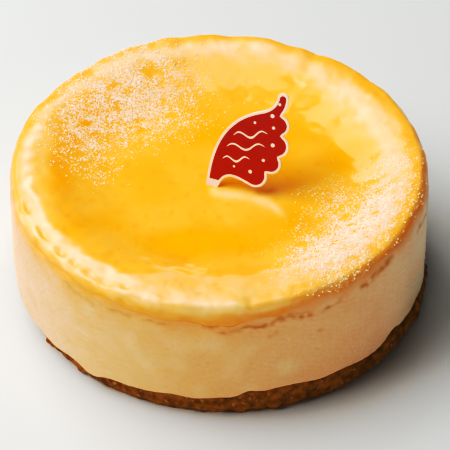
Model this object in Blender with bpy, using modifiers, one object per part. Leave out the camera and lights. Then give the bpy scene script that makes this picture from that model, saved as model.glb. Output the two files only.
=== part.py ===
"""A whole baked cheesecake on a biscuit base, with a scalloped card pick standing in its top.

Run with: blender --background --python part.py
Metres, +Z up. The origin is the centre of the base's flat underside, and the front faces -Y.
Angles run anticlockwise from +X, seen from above.
The baked body has a raised, dimpled rim round a shallow dish. The base is a pressed biscuit
layer whose upper edge wanders up and down the side, and the body follows it all round.
"""

import math

import bpy
import numpy as np
from mathutils import Matrix

MM = 0.001

# Driving dimensions of the whole cake
CAKE_RADIUS = 75.3 * MM
CREST_HEIGHT = 51.8 * MM
DISH_DEPTH = 7.4 * MM
BASE_THICKNESS = 7.6 * MM

# The rim: the crest's radius, how far the shoulder falls outside it, and the dish's floor inside it
CREST_RADIUS = 70.9 * MM
CREST_TILT = 0.9 * MM
SHOULDER_DROP = 6.8 * MM
FLOOR_RADIUS = 38 * MM
FLOOR_SAG = 0.5 * MM
FLOOR_REACH_LEFT = -4 * MM
BODY_LOWER_ROUNDING = 1.2 * MM
SIDE_BELLY = 0.3 * MM

# The biscuit base sits a little off centre, so it hides on the left and shows on the right
BASE_RADIUS = 74 * MM
BASE_SHIFT_X = 2.2 * MM
BASE_FOOT_INSET = 0.9 * MM
BASE_TOP_ROUNDING = 0.9 * MM
BASE_CRUMB_RELIEF = 0.3 * MM

# Inside the first radius the biscuit is flat on top, outside the second it has its edge's height
FLAT_WITHIN = 58 * MM
UNEVEN_FROM = 68 * MM

# What keeps two pieces apart where they meet
CLEARANCE = 0.3 * MM

# The card pick: its place in the dish, how it turns and leans, and its stake below the surface
PICK_FOOT = (-2.3 * MM, -4.0 * MM)
PICK_YAW = math.radians(-22)
PICK_LEAN = math.radians(20)
PICK_THICKNESS = 0.6 * MM
STAKE_HALF_WIDTH = 2.2 * MM
STAKE_DEPTH = 13 * MM
STAKE_POINT_HALF_WIDTH = 0.5 * MM
SLOT_ABOVE_SURFACE = 4 * MM

# Round the cake, one segment is 360 / SEGMENTS degrees
SEGMENTS = 160

# Low and high places on the crest: angle in degrees, rise in mm, half width in degrees
CREST_WAVES = (
    (25, -0.5, 5),
    (42, -0.4, 8),
    (59.5, -1.3, 3.5),
    (96, 0.3, 5),
    (106, 0.9, 5),
    (118, 1.1, 3.5),
    (135, -0.9, 5),
    (142, -0.3, 5),
    (176, 0.4, 4),
    (186, -0.5, 4),
)

# Pinched dimples along the crest: angle and half length in degrees, radius, half width and depth in mm
CREST_DIMPLES = (
    (200, 2.0, 70.6, 1.7, 1.0),
    (212, 2.7, 70.8, 1.4, 0.9),
    (221, 1.9, 71.2, 1.5, 1.0),
    (227, 1.8, 71.5, 1.3, 0.8),
    (232, 1.9, 71.6, 1.3, 0.8),
    (238.5, 2.8, 71.8, 1.5, 1.0),
    (244, 1.5, 71.0, 1.2, 0.7),
    (256, 2.6, 71.2, 1.5, 0.5),
    (279, 2.4, 71.0, 1.6, 0.6),
    (291, 2.8, 71.4, 1.5, 0.5),
    (33, 2.6, 70.2, 1.8, 0.6),
    (118, 2.8, 70.8, 1.6, 0.7),
    (161, 2.4, 71.0, 1.5, 0.6),
)

# Where the biscuit climbs or sinks on the side: angle in degrees, rise in mm, half width in degrees
BISCUIT_LEDGES = (
    (234.5, -1.6, 3.5),
    (262, 0.8, 12),
    (278, 2.4, 3),
    (287, 3.2, 7),
    (302, 1.0, 6),
    (318, -1.2, 5),
    (325, 2.4, 3.2),
    (350, -2.8, 11),
    (22, 1.4, 8),
    (48, -1.6, 9),
    (75, 2.0, 7),
    (104, -1.0, 8),
    (131, 1.8, 6),
    (160, -1.8, 10),
    (190, 1.6, 9),
)

# Biscuit crumbs that stick out of the base's side: angle and half width in degrees, reach in mm
STRAY_CRUMBS = (
    (214, 1.3, 2.0),
    (228, 1.5, 1.1),
    (286, 1.6, 0.9),
    (305, 1.4, 1.0),
    (340, 1.6, 0.9),
    (31, 1.5, 1.3),
    (88, 1.5, 1.2),
    (139, 1.4, 1.4),
    (171, 1.6, 1.0),
)

COLOURS = {
    "biscuit": ("#9A5A20", 0.9),
    "cream": ("#F3D9A8", 0.55),
    "red card": ("#B81A0C", 0.45),
}

SHARP_ANGLE = math.radians(50)


def start_empty():
    """Clears the scene's objects, so that the script can be run again."""
    for old in list(bpy.data.objects):
        bpy.data.objects.remove(old, do_unlink=True)


def new_collection(name):
    made = bpy.data.collections.new(name)
    bpy.context.scene.collection.children.link(made)
    return made


def linear(hex_colour):
    """An sRGB hex colour as linear RGBA."""
    channels = [int(hex_colour[i : i + 2], 16) / 255 for i in (1, 3, 5)]
    return [c / 12.92 if c <= 0.04045 else ((c + 0.055) / 1.055) ** 2.4 for c in channels] + [1.0]


def plain_material(name):
    colour, roughness = COLOURS[name]
    material = bpy.data.materials.new(name)
    material.use_nodes = True
    shader = material.node_tree.nodes["Principled BSDF"]
    shader.inputs["Base Color"].default_value = linear(colour)
    shader.inputs["Roughness"].default_value = roughness
    shader.inputs["Metallic"].default_value = 0.0
    return material


def smooth_step(low, high, value):
    """0 below low, 1 above high, and an S-curve between them."""
    share = np.clip((value - low) / (high - low), 0, 1)
    return share * share * (3 - 2 * share)


def swell(angle, centre, half_width):
    """1 at the centre angle, in degrees, falling to nothing on both sides like a bell."""
    gap = np.angle(np.exp(1j * (angle - math.radians(centre))))
    return np.exp(-((gap / math.radians(half_width)) ** 2))


def ripple(angle, seed, orders, height):
    """Uneven waves round the cake: cosines of the given orders with seeded sizes and phases."""
    rng = np.random.default_rng(seed)
    orders = np.arange(*orders)
    sizes = rng.uniform(0.5, 1.0, len(orders))
    phases = rng.uniform(0, 2 * math.pi, len(orders))
    waves = sizes * np.cos(np.multiply.outer(angle, orders) + phases)
    return height * waves.sum(axis=-1) / np.sqrt((sizes**2).sum() / 2)


def meeting_height(radius, angle):
    """Height at which body and biscuit meet: level inside, and the wandering edge's height outside."""
    ledges = sum(rise * MM * swell(angle, at, width) for at, rise, width in BISCUIT_LEDGES)
    uneven = ledges + ripple(angle, 41, (14, 34), 0.22 * MM)
    share = np.clip((radius - FLAT_WITHIN) / (UNEVEN_FROM - FLAT_WITHIN), 0, 1)
    return BASE_THICKNESS + share * uneven


def floor_radius(angle):
    """The dish's floor reaches nearer to the rim on the left, and slopes up gently on the right."""
    reach = FLOOR_REACH_LEFT * np.cos(angle - math.radians(188))
    return FLOOR_RADIUS + reach + ripple(angle, 7, (2, 6), 0.9 * MM)


def crest_rise(angle):
    """How far the crest stands above its mean height. It is highest at the back."""
    waves = sum(rise * MM * swell(angle, at, width) for at, rise, width in CREST_WAVES)
    waves += ripple(angle, 11, (2, 6), 0.15 * MM) + ripple(angle, 12, (7, 25), 0.2 * MM)
    return waves + CREST_TILT * np.sin(angle)


def dimples(radius, angle):
    """Depth of the pinched dimples that follow the crest."""
    total = np.zeros_like(radius)
    for at, half_length, at_radius, half_width, depth in CREST_DIMPLES:
        across = np.exp(-(((radius - at_radius * MM) / (half_width * MM)) ** 2))
        total += depth * MM * across * swell(angle, at, half_length)
    return total


def side_unevenness(angle, height):
    """How far the side stands out from the true cylinder. It is fullest low down."""
    around = ripple(angle, 21, (2, 6), 0.2 * MM) + ripple(angle, 22, (7, 22), 0.12 * MM)
    return around + SIDE_BELLY * (np.cos((height / CREST_HEIGHT - 0.3) * math.pi) - 0.7)


def body_profile():
    """Radius and height from the dish's centre, over the rim and down the side, to the centre below."""
    floor = [(share * FLOOR_RADIUS, 0.0) for share in (0.0, 0.3, 0.6, 0.85, 1.0)]
    slope_steps = 9
    slope = []
    for step in range(1, slope_steps + 1):
        share = (step / slope_steps) ** 0.85
        radius = FLOOR_RADIUS + share * (CREST_RADIUS - FLOOR_RADIUS)
        slope.append((radius, DISH_DEPTH * (1 - math.cos(math.pi * share)) / 2))
    top = [(radius, CREST_HEIGHT - DISH_DEPTH + rise) for radius, rise in floor + slope]
    shoulder_width = CAKE_RADIUS - CREST_RADIUS
    shoulder = []
    for step in range(1, 7):
        turn = math.radians(15 * step)
        radius = CREST_RADIUS + shoulder_width * math.sin(turn)
        shoulder.append((radius, CREST_HEIGHT - SHOULDER_DROP * (1 - math.cos(turn))))
    side_top = CREST_HEIGHT - SHOULDER_DROP
    side_low = BASE_THICKNESS + BODY_LOWER_ROUNDING
    side = [(CAKE_RADIUS, side_top + share * (side_low - side_top)) for share in (0.12, 0.4, 0.75, 1.0)]
    rounded = 0.35 * BODY_LOWER_ROUNDING
    under = [
        (CAKE_RADIUS - rounded, BASE_THICKNESS + rounded),
        (CAKE_RADIUS - BODY_LOWER_ROUNDING, BASE_THICKNESS),
        (UNEVEN_FROM, BASE_THICKNESS),
        (FLAT_WITHIN, BASE_THICKNESS),
        (0.0, BASE_THICKNESS),
    ]
    return top + shoulder + side + under


def base_profile():
    """Radius and height of the biscuit from its centre on top, down the side, to its flat foot."""
    top = BASE_THICKNESS
    return [
        (0.0, top),
        (FLAT_WITHIN, top),
        (UNEVEN_FROM, top),
        (BASE_RADIUS - 2 * BASE_TOP_ROUNDING, top),
        (BASE_RADIUS - 0.8 * BASE_TOP_ROUNDING, top - 0.15 * BASE_TOP_ROUNDING),
        (BASE_RADIUS, top - BASE_TOP_ROUNDING),
        (BASE_RADIUS, 0.6 * top),
        (BASE_RADIUS, 0.4 * top),
        (BASE_RADIUS - 0.2 * BASE_FOOT_INSET, 0.2 * top),
        (BASE_RADIUS - BASE_FOOT_INSET, 0.0),
        (0.0, 0.0),
    ]


def turned(name, profile, collection):
    """A closed solid of revolution: the profile, top to bottom at +X, turned by a Screw modifier."""
    outline = bpy.data.meshes.new(name)
    points = [(radius, 0.0, height) for radius, height in profile]
    outline.from_pydata(points, [(i, i + 1) for i in range(len(points) - 1)], [])
    guide = bpy.data.objects.new(name + "_profile", outline)
    collection.objects.link(guide)
    screw = guide.modifiers.new("turn", "SCREW")
    screw.steps = screw.render_steps = SEGMENTS
    screw.use_merge_vertices = True
    screw.merge_threshold = 0.01 * MM
    graph = bpy.context.evaluated_depsgraph_get()
    made = bpy.data.objects.new(name, bpy.data.meshes.new_from_object(guide.evaluated_get(graph)))
    collection.objects.link(made)
    bpy.data.objects.remove(guide, do_unlink=True)
    return made


def read_points(mesh):
    """Each vertex as radius, angle and height, in float64."""
    flat = np.empty(len(mesh.vertices) * 3, np.float32)
    mesh.vertices.foreach_get("co", flat)
    x, y, height = flat.reshape(-1, 3).astype(float).T
    return np.hypot(x, y), np.arctan2(y, x), height


def write_points(mesh, radius, angle, height):
    points = np.stack([radius * np.cos(angle), radius * np.sin(angle), height], axis=1)
    mesh.vertices.foreach_set("co", points.astype(np.float32).ravel())
    mesh.update()


def shape_body(mesh):
    """Turns the true solid of revolution into the baked one: uneven rim, side and lower edge."""
    radius, angle, height = read_points(mesh)
    side_top = CREST_HEIGHT - SHOULDER_DROP
    tiny = 0.01 * MM
    on_side = height < CREST_HEIGHT - DISH_DEPTH - tiny
    on_side |= (radius > CREST_RADIUS + tiny) & (height < side_top - tiny)

    # The dish: its floor reaches to a different radius all round, and its slope fills the rest.
    floor = floor_radius(angle)
    across = (radius - FLOOR_RADIUS) / (CREST_RADIUS - FLOOR_RADIUS)
    slope = floor + across * (CREST_RADIUS - floor)
    warped = np.where(across < 0, radius * floor / FLOOR_RADIUS, np.where(across < 1, slope, radius))
    top_height = height + smooth_step(FLOOR_RADIUS, CREST_RADIUS, radius) * crest_rise(angle)
    top_height -= dimples(warped, angle) + FLOOR_SAG * (1 - np.clip(warped / floor, 0, 1) ** 2)

    # The side: its foot follows the biscuit.
    down = np.clip((side_top - height) / (side_top - BASE_THICKNESS), 0, 1)
    side_height = height + down * (meeting_height(radius, angle) + CLEARANCE - BASE_THICKNESS)

    new_height = np.where(on_side, side_height, top_height)
    new_radius = np.where(on_side, radius, warped)
    new_radius += smooth_step(CREST_RADIUS, CAKE_RADIUS, radius) * side_unevenness(angle, new_height)
    write_points(mesh, new_radius, angle, new_height)


def shape_base(mesh):
    """Gives the biscuit its wandering top edge and its crumbly side, and keeps its foot flat."""
    radius, angle, height = read_points(mesh)
    layer = np.round(5 * height / BASE_THICKNESS)
    crumbs = sum((layer == k) * ripple(angle, 60 + k, (16, 52), BASE_CRUMB_RELIEF) for k in range(6))
    strays = sum(reach * MM * swell(angle, at, width) for at, width, reach in STRAY_CRUMBS)
    strays *= np.exp(-((height / BASE_THICKNESS - 0.35) ** 2) / 0.16)
    outer = radius > UNEVEN_FROM + CLEARANCE
    outward = outer * (BASE_SHIFT_X * np.cos(angle) + crumbs + strays)
    raised = height / BASE_THICKNESS * (meeting_height(radius, angle) - BASE_THICKNESS)
    write_points(mesh, radius + outward, angle, height + raised)


def finish_solid(solid, material_name):
    """One material, smooth shading except at true edges, and quads split the same way everywhere."""
    solid.data.materials.append(plain_material(material_name))
    solid.data.shade_smooth()
    solid.data.set_sharp_from_angle(angle=SHARP_ANGLE)
    split = solid.modifiers.new("split quads", "TRIANGULATE")
    split.quad_method = "SHORTEST_DIAGONAL"


def bezier(start, pull_out, pull_in, end, steps):
    """Points along a cubic curve, without its last one."""
    share = np.linspace(0, 1, steps, endpoint=False)[:, None]
    corners = [np.array(p, float) for p in (start, pull_out, pull_in, end)]
    weights = [(1 - share) ** 3, 3 * share * (1 - share) ** 2, 3 * share**2 * (1 - share), share**3]
    return [tuple(p) for p in sum(w * c for w, c in zip(weights, corners))]


def lobe(start, end, bulge, steps):
    """Points along the arc from start to end that bulges to the left of it, without the last one."""
    a, b = np.array(start, float), np.array(end, float)
    chord = b - a
    half = np.hypot(*chord) / 2
    left = np.array([-chord[1], chord[0]]) / (2 * half)
    radius = (half**2 + bulge**2) / (2 * bulge)
    centre = (a + b) / 2 + left * (bulge - radius)
    sweep = 2 * math.asin(half / radius)
    if bulge > half:
        sweep = 2 * math.pi - sweep
    first = math.atan2(a[1] - centre[1], a[0] - centre[0])
    turns = first - sweep * np.linspace(0, 1, steps, endpoint=False)
    return [tuple(centre + radius * np.array([math.cos(t), math.sin(t)])) for t in turns]


def pick_outline():
    """The card's outline in mm, clockwise from the stake's point; 0, 0 is where it enters the cake."""
    stake = STAKE_HALF_WIDTH / MM
    point = STAKE_POINT_HALF_WIDTH / MM
    depth = STAKE_DEPTH / MM
    neck = (13.5, 32.0)
    finger_left, finger_right = (19.4, 38.2), (23.6, 38.6)
    notches = [(22.0, 32.5), (23.2, 25.2), (23.2, 16.9), (19.4, 10.2), (13.2, 4.2)]
    outline = [(point, -depth), (-point, -depth)]
    outline += bezier((-stake, 0.0), (-2.6, 16.0), (1.5, 26.5), neck, 16)
    outline += bezier(neck, (16.6, 33.2), (18.9, 35.0), finger_left, 8)
    outline += lobe(finger_left, finger_right, 2.3, 8)
    outline += bezier(finger_right, (23.7, 36.6), (23.3, 34.2), notches[0], 6)
    for start, end, bulge in zip(notches, notches[1:], (2.6, 2.9, 2.8, 3.0)):
        outline += lobe(start, end, bulge, 8)
    outline += bezier(notches[-1], (8.5, 5.4), (4.0, 7.5), (stake, 0.0), 9)
    outline.append((stake, 0.0))
    return outline


def pick_placing():
    """Moves the card's own plane, X right and Y up, to where it stands in the cake."""
    foot = Matrix.Translation((*PICK_FOOT, CREST_HEIGHT - DISH_DEPTH - FLOOR_SAG))
    upright = Matrix.Rotation(math.radians(90) - PICK_LEAN, 4, "X")
    return foot @ Matrix.Rotation(PICK_YAW, 4, "Z") @ upright


def make_slot_cutter(collection):
    """A box a little larger than the stake, in the card's plane."""
    width = 2 * (STAKE_HALF_WIDTH + CLEARANCE)
    thickness = PICK_THICKNESS + 2 * CLEARANCE
    depth = STAKE_DEPTH + CLEARANCE
    bpy.ops.mesh.primitive_cube_add(size=1)
    cutter = bpy.context.object
    cutter.name = "pick_slot"
    for old in list(cutter.users_collection):
        old.objects.unlink(cutter)
    collection.objects.link(cutter)
    centre = Matrix.Translation((0, (SLOT_ABOVE_SURFACE - depth) / 2, 0))
    cutter.data.transform(centre @ Matrix.Diagonal((width, SLOT_ABOVE_SURFACE + depth, thickness, 1)))
    cutter.matrix_world = pick_placing()
    cutter.hide_render = True
    cutter.display_type = "WIRE"
    return cutter


def make_body(collection, cutters):
    body = turned("filling", body_profile(), collection)
    shape_body(body.data)
    finish_solid(body, "cream")
    slot = body.modifiers.new("slot for the pick", "BOOLEAN")
    slot.operation = "DIFFERENCE"
    slot.solver = "EXACT"
    slot.object = make_slot_cutter(cutters)


def make_base(collection):
    base = turned("base", base_profile(), collection)
    shape_base(base.data)
    finish_solid(base, "biscuit")


def make_pick(collection):
    """The flat card: its outline as a filled curve, given its thickness."""
    card = bpy.data.curves.new("pick", "CURVE")
    card.dimensions = "2D"
    card.fill_mode = "BOTH"
    card.extrude = PICK_THICKNESS / 2
    outline = pick_outline()
    spline = card.splines.new("POLY")
    spline.points.add(len(outline) - 1)
    for point, (x, y) in zip(spline.points, outline):
        point.co = (x * MM, y * MM, 0.0, 1.0)
    spline.use_cyclic_u = True
    card.materials.append(plain_material("red card"))
    pick = bpy.data.objects.new("pick", card)
    pick.matrix_world = pick_placing()
    collection.objects.link(pick)


def main():
    start_empty()
    cake = new_collection("cheesecake")
    cutters = new_collection("cutters")
    make_base(cake)
    make_body(cake, cutters)
    make_pick(cake)


main()
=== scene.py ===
"""A whole baked cheesecake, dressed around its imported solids.

Lengths are in metres in the part's own frame: +Z up, the origin under the middle of the biscuit
base, the front towards -Y, and angles anticlockwise from +X. The baked body, the glaze over its
top, the icing sugar, the biscuit base with its crumbs and the card pick are each a class that
holds its sizes and builds its own meshes. Every surface is a formula worked out on whole arrays.
"""

import logging
import math
from collections.abc import Sequence
from dataclasses import dataclass, field
from enum import Enum
from functools import cached_property

import bpy
import numpy as np
from mathutils import Matrix, Vector


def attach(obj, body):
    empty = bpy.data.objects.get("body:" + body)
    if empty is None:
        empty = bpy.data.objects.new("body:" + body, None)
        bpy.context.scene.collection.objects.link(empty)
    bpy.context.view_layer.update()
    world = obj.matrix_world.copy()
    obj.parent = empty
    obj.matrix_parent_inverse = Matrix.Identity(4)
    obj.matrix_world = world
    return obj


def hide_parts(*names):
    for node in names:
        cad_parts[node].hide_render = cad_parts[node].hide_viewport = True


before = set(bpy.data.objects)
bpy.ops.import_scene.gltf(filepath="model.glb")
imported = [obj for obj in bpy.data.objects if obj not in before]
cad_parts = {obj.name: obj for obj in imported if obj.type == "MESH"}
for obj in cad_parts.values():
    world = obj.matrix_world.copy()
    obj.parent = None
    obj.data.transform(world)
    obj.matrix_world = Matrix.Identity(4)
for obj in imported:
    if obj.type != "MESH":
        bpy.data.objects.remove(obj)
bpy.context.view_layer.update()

log = logging.getLogger("cheesecake")
Array = np.ndarray
Socket = bpy.types.NodeSocket
Triple = tuple[float, float, float]
Numbers = tuple[float, ...]
Waves = tuple[tuple[int, tuple[int, int], float], ...]
MM = 0.001


def linear(hex_colour: str) -> tuple[float, float, float, float]:
    """Turns an sRGB hex colour into linear RGBA.

    Args:
        hex_colour: The colour as "#RRGGBB".

    Returns:
        Red, green and blue as linear light, and an alpha of 1.
    """
    channels = [int(hex_colour[i : i + 2], 16) / 255 for i in (1, 3, 5)]
    red, green, blue = (c / 12.92 if c <= 0.04045 else ((c + 0.055) / 1.055) ** 2.4 for c in channels)
    return red, green, blue, 1.0


def feed(tree: bpy.types.NodeTree, sockets: bpy.types.NodeInputs, inputs: dict[str | int, object]) -> None:
    """Feeds input sockets, each with a plain value or with another node's output.

    Args:
        tree: The node tree that they are in.
        sockets: The node's inputs.
        inputs: Their names or numbers, and what feeds each.
    """
    for name, value in inputs.items():
        if isinstance(value, Socket):
            tree.links.new(value, sockets[name])
        else:
            sockets[name].default_value = value


def add_node(
    tree: bpy.types.NodeTree,
    kind: str,
    settings: dict[str, object] | None = None,
    inputs: dict[str | int, object] | None = None,
) -> bpy.types.Node:
    """Adds one node with its settings and its inputs.

    Args:
        tree: The node tree that takes the node.
        kind: The node's type, such as "ShaderNodeTexNoise".
        settings: Properties of the node and their values.
        inputs: Sockets, by name or number, and the value or the output socket that feeds each.

    Returns:
        The node.
    """
    node = tree.nodes.new(kind)
    for name, value in (settings or {}).items():
        setattr(node, name, value)
    feed(tree, node.inputs, inputs or {})
    return node


def smooth_step(low: float, high: float, value: Array) -> Array:
    """0 below low, 1 above high, and 3t^2 - 2t^3 of the share t between them."""
    share = np.clip((value - low) / (high - low), 0, 1)
    return share * share * (3 - 2 * share)


def between(value: Array, rise: tuple[float, float], fall: tuple[float, float]) -> Array:
    """Rises from 0 to 1 over the first pair of values and falls back over the second."""
    return smooth_step(*rise, value) * (1 - smooth_step(*fall, value))


def bell(value: Array, centre: float | Array, half_width: float) -> Array:
    """The bell exp(-((value - centre) / half width)^2)."""
    return np.exp(-(((value - centre) / half_width) ** 2))


def in_degrees(angle: Array) -> Array:
    """Angles in degrees, from 0 to 360."""
    return np.degrees(angle) % 360


def swell(angle: Array, centre: float, half_width: float) -> Array:
    """A bell of the shorter way round from a centre angle, given with its half width in degrees."""
    gap = np.angle(np.exp(1j * (angle - math.radians(centre))))
    return bell(gap, 0, math.radians(half_width))


def swells(angle: Array, places: Sequence[Triple]) -> Array:
    """The sum of swells, each given as its degrees, its rise in mm and its half width in degrees."""
    return sum(rise * MM * swell(angle, at, width) for at, rise, width in places)


def ripple(angle: Array, seed: int, orders: tuple[int, int], height: float) -> Array:
    """Uneven waves round the cake: a sum of cosines of the angle.

    Args:
        angle: Angles in radians.
        seed: Seeds the sizes and phases of the cosines.
        orders: The lowest number of waves in a turn, and the first one left out.
        height: The root mean square height of the sum.

    Returns:
        The height at each angle.
    """
    rng = np.random.default_rng(seed)
    turns = np.arange(*orders)
    sizes = rng.uniform(0.5, 1.0, len(turns))
    phases = rng.uniform(0, 2 * math.pi, len(turns))
    waves = sizes * np.cos(np.multiply.outer(angle, turns) + phases)
    return height * waves.sum(axis=-1) / np.sqrt((sizes**2).sum() / 2)


def ripples(angle: Array, waves: Waves) -> Array:
    """The sum of ripples, each given as its seed, its orders and its height in mm."""
    return sum(ripple(angle, seed, orders, height * MM) for seed, orders, height in waves)


def unevenness(points: Array, size: float, seed: int, count: int = 28) -> Array:
    """Natural unevenness in space: a sum of cosines of plane waves in seeded directions.

    Args:
        points: Places, with x, y and z on the last axis.
        size: The mean wavelength, in mm.
        seed: Seeds the waves.
        count: How many waves are summed.

    Returns:
        A value of mean 0 and mean square 1 at each place.
    """
    rng = np.random.default_rng(seed)
    ways = rng.normal(size=(count, 3))
    ways /= np.linalg.norm(ways, axis=1, keepdims=True)
    ways *= (2 * math.pi / (size * MM * rng.uniform(0.75, 1.35, count)))[:, None]
    phases = rng.uniform(0, 2 * math.pi, count)
    return np.cos(points @ ways.T + phases).sum(axis=-1) * math.sqrt(2 / count)


def patchy(points: Array, size: float, seed: int, mean: float, swing: float) -> Array:
    """A share from 0 to 1: its mean plus its swing times unevenness of a size in mm."""
    return np.clip(mean + swing * unevenness(points, size, seed), 0, 1)


def round_points(radius: Array | float, angle: Array, height: Array | float) -> Array:
    """Points at each radius, angle and height, with x, y and z on the last axis."""
    return np.stack(np.broadcast_arrays(radius * np.cos(angle), radius * np.sin(angle), height), axis=-1)


def mesh_from_arrays(name: str, points: Array, faces: Sequence[Array]) -> bpy.types.Mesh:
    """Makes a smooth-shaded mesh from whole arrays.

    Args:
        name: The mesh's name.
        points: One row of x, y and z for each vertex.
        faces: Arrays of vertex numbers, one row a face, each array with its own number of corners.

    Returns:
        The mesh.
    """
    corners = np.concatenate([rows.ravel() for rows in faces]).astype(np.int32)
    sizes = np.concatenate([np.full(len(rows), rows.shape[1]) for rows in faces])
    starts = (np.cumsum(sizes) - sizes).astype(np.int32)
    mesh = bpy.data.meshes.new(name)
    mesh.vertices.add(len(points))
    mesh.vertices.foreach_set("co", points.astype(np.float32).ravel())
    mesh.loops.add(len(corners))
    mesh.loops.foreach_set("vertex_index", corners)
    mesh.polygons.add(len(sizes))
    mesh.polygons.foreach_set("loop_start", starts)
    mesh.update(calc_edges=True)
    mesh.validate()
    mesh.shade_smooth()
    return mesh


def ring_quads(here: Array) -> Array:
    """Four-cornered faces between neighbouring closed rings of vertex numbers, one row a ring."""
    beside = np.roll(here, -1, axis=1)
    return np.stack([here[:-1], here[1:], beside[1:], beside[:-1]], axis=-1).reshape(-1, 4)


def closed_rings(name: str, rings: Array, first: Array, last: Array) -> bpy.types.Mesh:
    """Closes a stack of rings with a point at each end.

    Args:
        name: The mesh's name.
        rings: Points as (ring, place on the ring, xyz). Each ring runs anticlockwise from above,
            and the rings run from the top's centre outwards, down and back in below.
        first: The point that closes the first ring.
        last: The point that closes the last ring.

    Returns:
        A closed mesh whose faces point outwards. Its vertices are the rings', in order, and then
        the first and the last point.
    """
    count, around = rings.shape[:2]
    here = np.arange(count * around).reshape(count, around)
    beside = np.roll(here, -1, axis=1)
    top, bottom = count * around, count * around + 1
    top_fan = np.stack([np.full(around, top), here[0], beside[0]], axis=-1)
    bottom_fan = np.stack([np.full(around, bottom), beside[-1], here[-1]], axis=-1)
    points = np.concatenate([rings.reshape(-1, 3), first[None], last[None]])
    return mesh_from_arrays(name, points, [ring_quads(here), top_fan, bottom_fan])


def paint(mesh: bpy.types.Mesh, marks: dict[str, Array]) -> None:
    """Stores marks for a material to read: a number from 0 to 1 for each vertex.

    Args:
        mesh: The mesh.
        marks: The marks' names and their values at the mesh's first vertices. The rest get 0.
    """
    for name, values in marks.items():
        stored = np.zeros(len(mesh.vertices), np.float32)
        stored[: values.size] = np.clip(values, 0, 1).ravel()
        mesh.attributes.new(name, "FLOAT", "POINT").data.foreach_set("value", stored)


def place_piece(mesh: bpy.types.Mesh, material: bpy.types.Material) -> bpy.types.Object:
    """Puts a finished mesh in the scene with its finish, and has it ride on the cake's one body.

    Args:
        mesh: The mesh, with its place already in its points.
        material: Its finish.

    Returns:
        The new piece.
    """
    mesh.materials.append(material)
    piece = bpy.data.objects.new(mesh.name, mesh)
    bpy.context.scene.collection.objects.link(piece)
    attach(piece, "root")
    return piece


class Coating:
    """One material while it is made up: an even first colour, and then layers and patterns on it."""

    def __init__(self, name: str, colour: str, roughness: float, ior: float) -> None:
        """Starts the material.

        Args:
            name: The material's name.
            colour: Its first colour, in hex.
            roughness: Its roughness where nothing changes it.
            ior: Its index of refraction.
        """
        self.made = bpy.data.materials.new(name)
        self.made.use_nodes = True
        self.tree = self.made.node_tree
        self.colour: Socket | tuple[float, ...] = linear(colour)
        self.shade({"Roughness": roughness, "IOR": ior})

    @cached_property
    def place(self) -> Socket:
        """The Object coordinates that every pattern of the material reads."""
        return add_node(self.tree, "ShaderNodeTexCoord").outputs["Object"]

    def shade(self, inputs: dict[str | int, object]) -> None:
        """Feeds the shader's own sockets."""
        feed(self.tree, self.tree.nodes["Principled BSDF"].inputs, inputs)

    def pattern(
        self, size: float, detail: float, seen: Sequence[float] = (), shown: Sequence[float] = (0, 1)
    ) -> Socket:
        """A cloudy pattern of a real size: noise, stretched where it is given a range.

        Args:
            size: The size of its clouds in mm.
            detail: How many finer layers it has.
            seen: The noise's values that are stretched to what is shown, if any are.
            shown: What they become.

        Returns:
            The pattern's level.
        """
        inputs = {"Vector": self.place, "Scale": 1 / (size * MM), "Detail": detail}
        level = add_node(self.tree, "ShaderNodeTexNoise", inputs=inputs).outputs[0]
        if not seen:
            return level
        limits = dict(zip(("From Min", "From Max", "To Min", "To Max"), (*seen, *shown)))
        return add_node(self.tree, "ShaderNodeMapRange", inputs={"Value": level, **limits}).outputs[0]

    def lay(self, shade: str, share: Socket | float = 1.0, mark: str = "") -> Socket | float:
        """Lays a shade over the colour so far.

        Args:
            shade: The shade, in hex.
            share: A pattern that says how much of it shows.
            mark: A painted mark that says where it shows, if it has one. The share is then its product.

        Returns:
            How much of the shade shows.
        """
        if mark:
            marked = add_node(self.tree, "ShaderNodeAttribute", {"attribute_name": mark}).outputs["Fac"]
            product = add_node(self.tree, "ShaderNodeMath", {"operation": "MULTIPLY"}, {0: marked, 1: share})
            share = product.outputs[0]
        layers = {0: share, 6: self.colour, 7: linear(shade)}
        self.colour = add_node(self.tree, "ShaderNodeMix", {"data_type": "RGBA"}, layers).outputs[2]
        return share

    def roughen(self, size: float, detail: float, strength: float, depth: float) -> None:
        """Gives the material a fine relief: a cloudy pattern read as height.

        Args:
            size: The size of its bumps in mm.
            detail: How many finer layers they have.
            strength: The share of the relief that shows.
            depth: Its depth in mm.
        """
        inputs = {"Height": self.pattern(size, detail), "Strength": strength, "Distance": depth * MM}
        self.shade({"Normal": add_node(self.tree, "ShaderNodeBump", inputs=inputs).outputs[0]})

    def finished(self) -> bpy.types.Material:
        """Feeds the colour that the layers made to the shader, and returns the material."""
        self.shade({"Base Color": self.colour})
        return self.made


class Stretch(Enum):
    """The stretches of the cake's outline. Each is one unit of `along`, from the dish's centre out."""

    FLOOR = 0
    SLOPE = 1
    SHOULDER = 2
    SIDE = 3

    def share(self, along: Array) -> Array:
        """How far through this stretch each place is, from 0 to 1."""
        return np.clip(along - self.value, 0, 1)


class Zone(Enum):
    """Zones with a relief of their own: where `along` each one fades in, and where it fades out."""

    TOP = ((-1, 0), (2.7, 3.05))
    SLOPE = ((0.95, 1.2), (1.7, 2.0))
    RIM = ((1.45, 1.9), (2.7, 3.05))
    SIDE = ((2.7, 3.05), (9, 10))

    def share(self, along: Array) -> Array:
        """How much each place belongs to this zone, from 0 to 1."""
        return between(along, *self.value)


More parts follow.
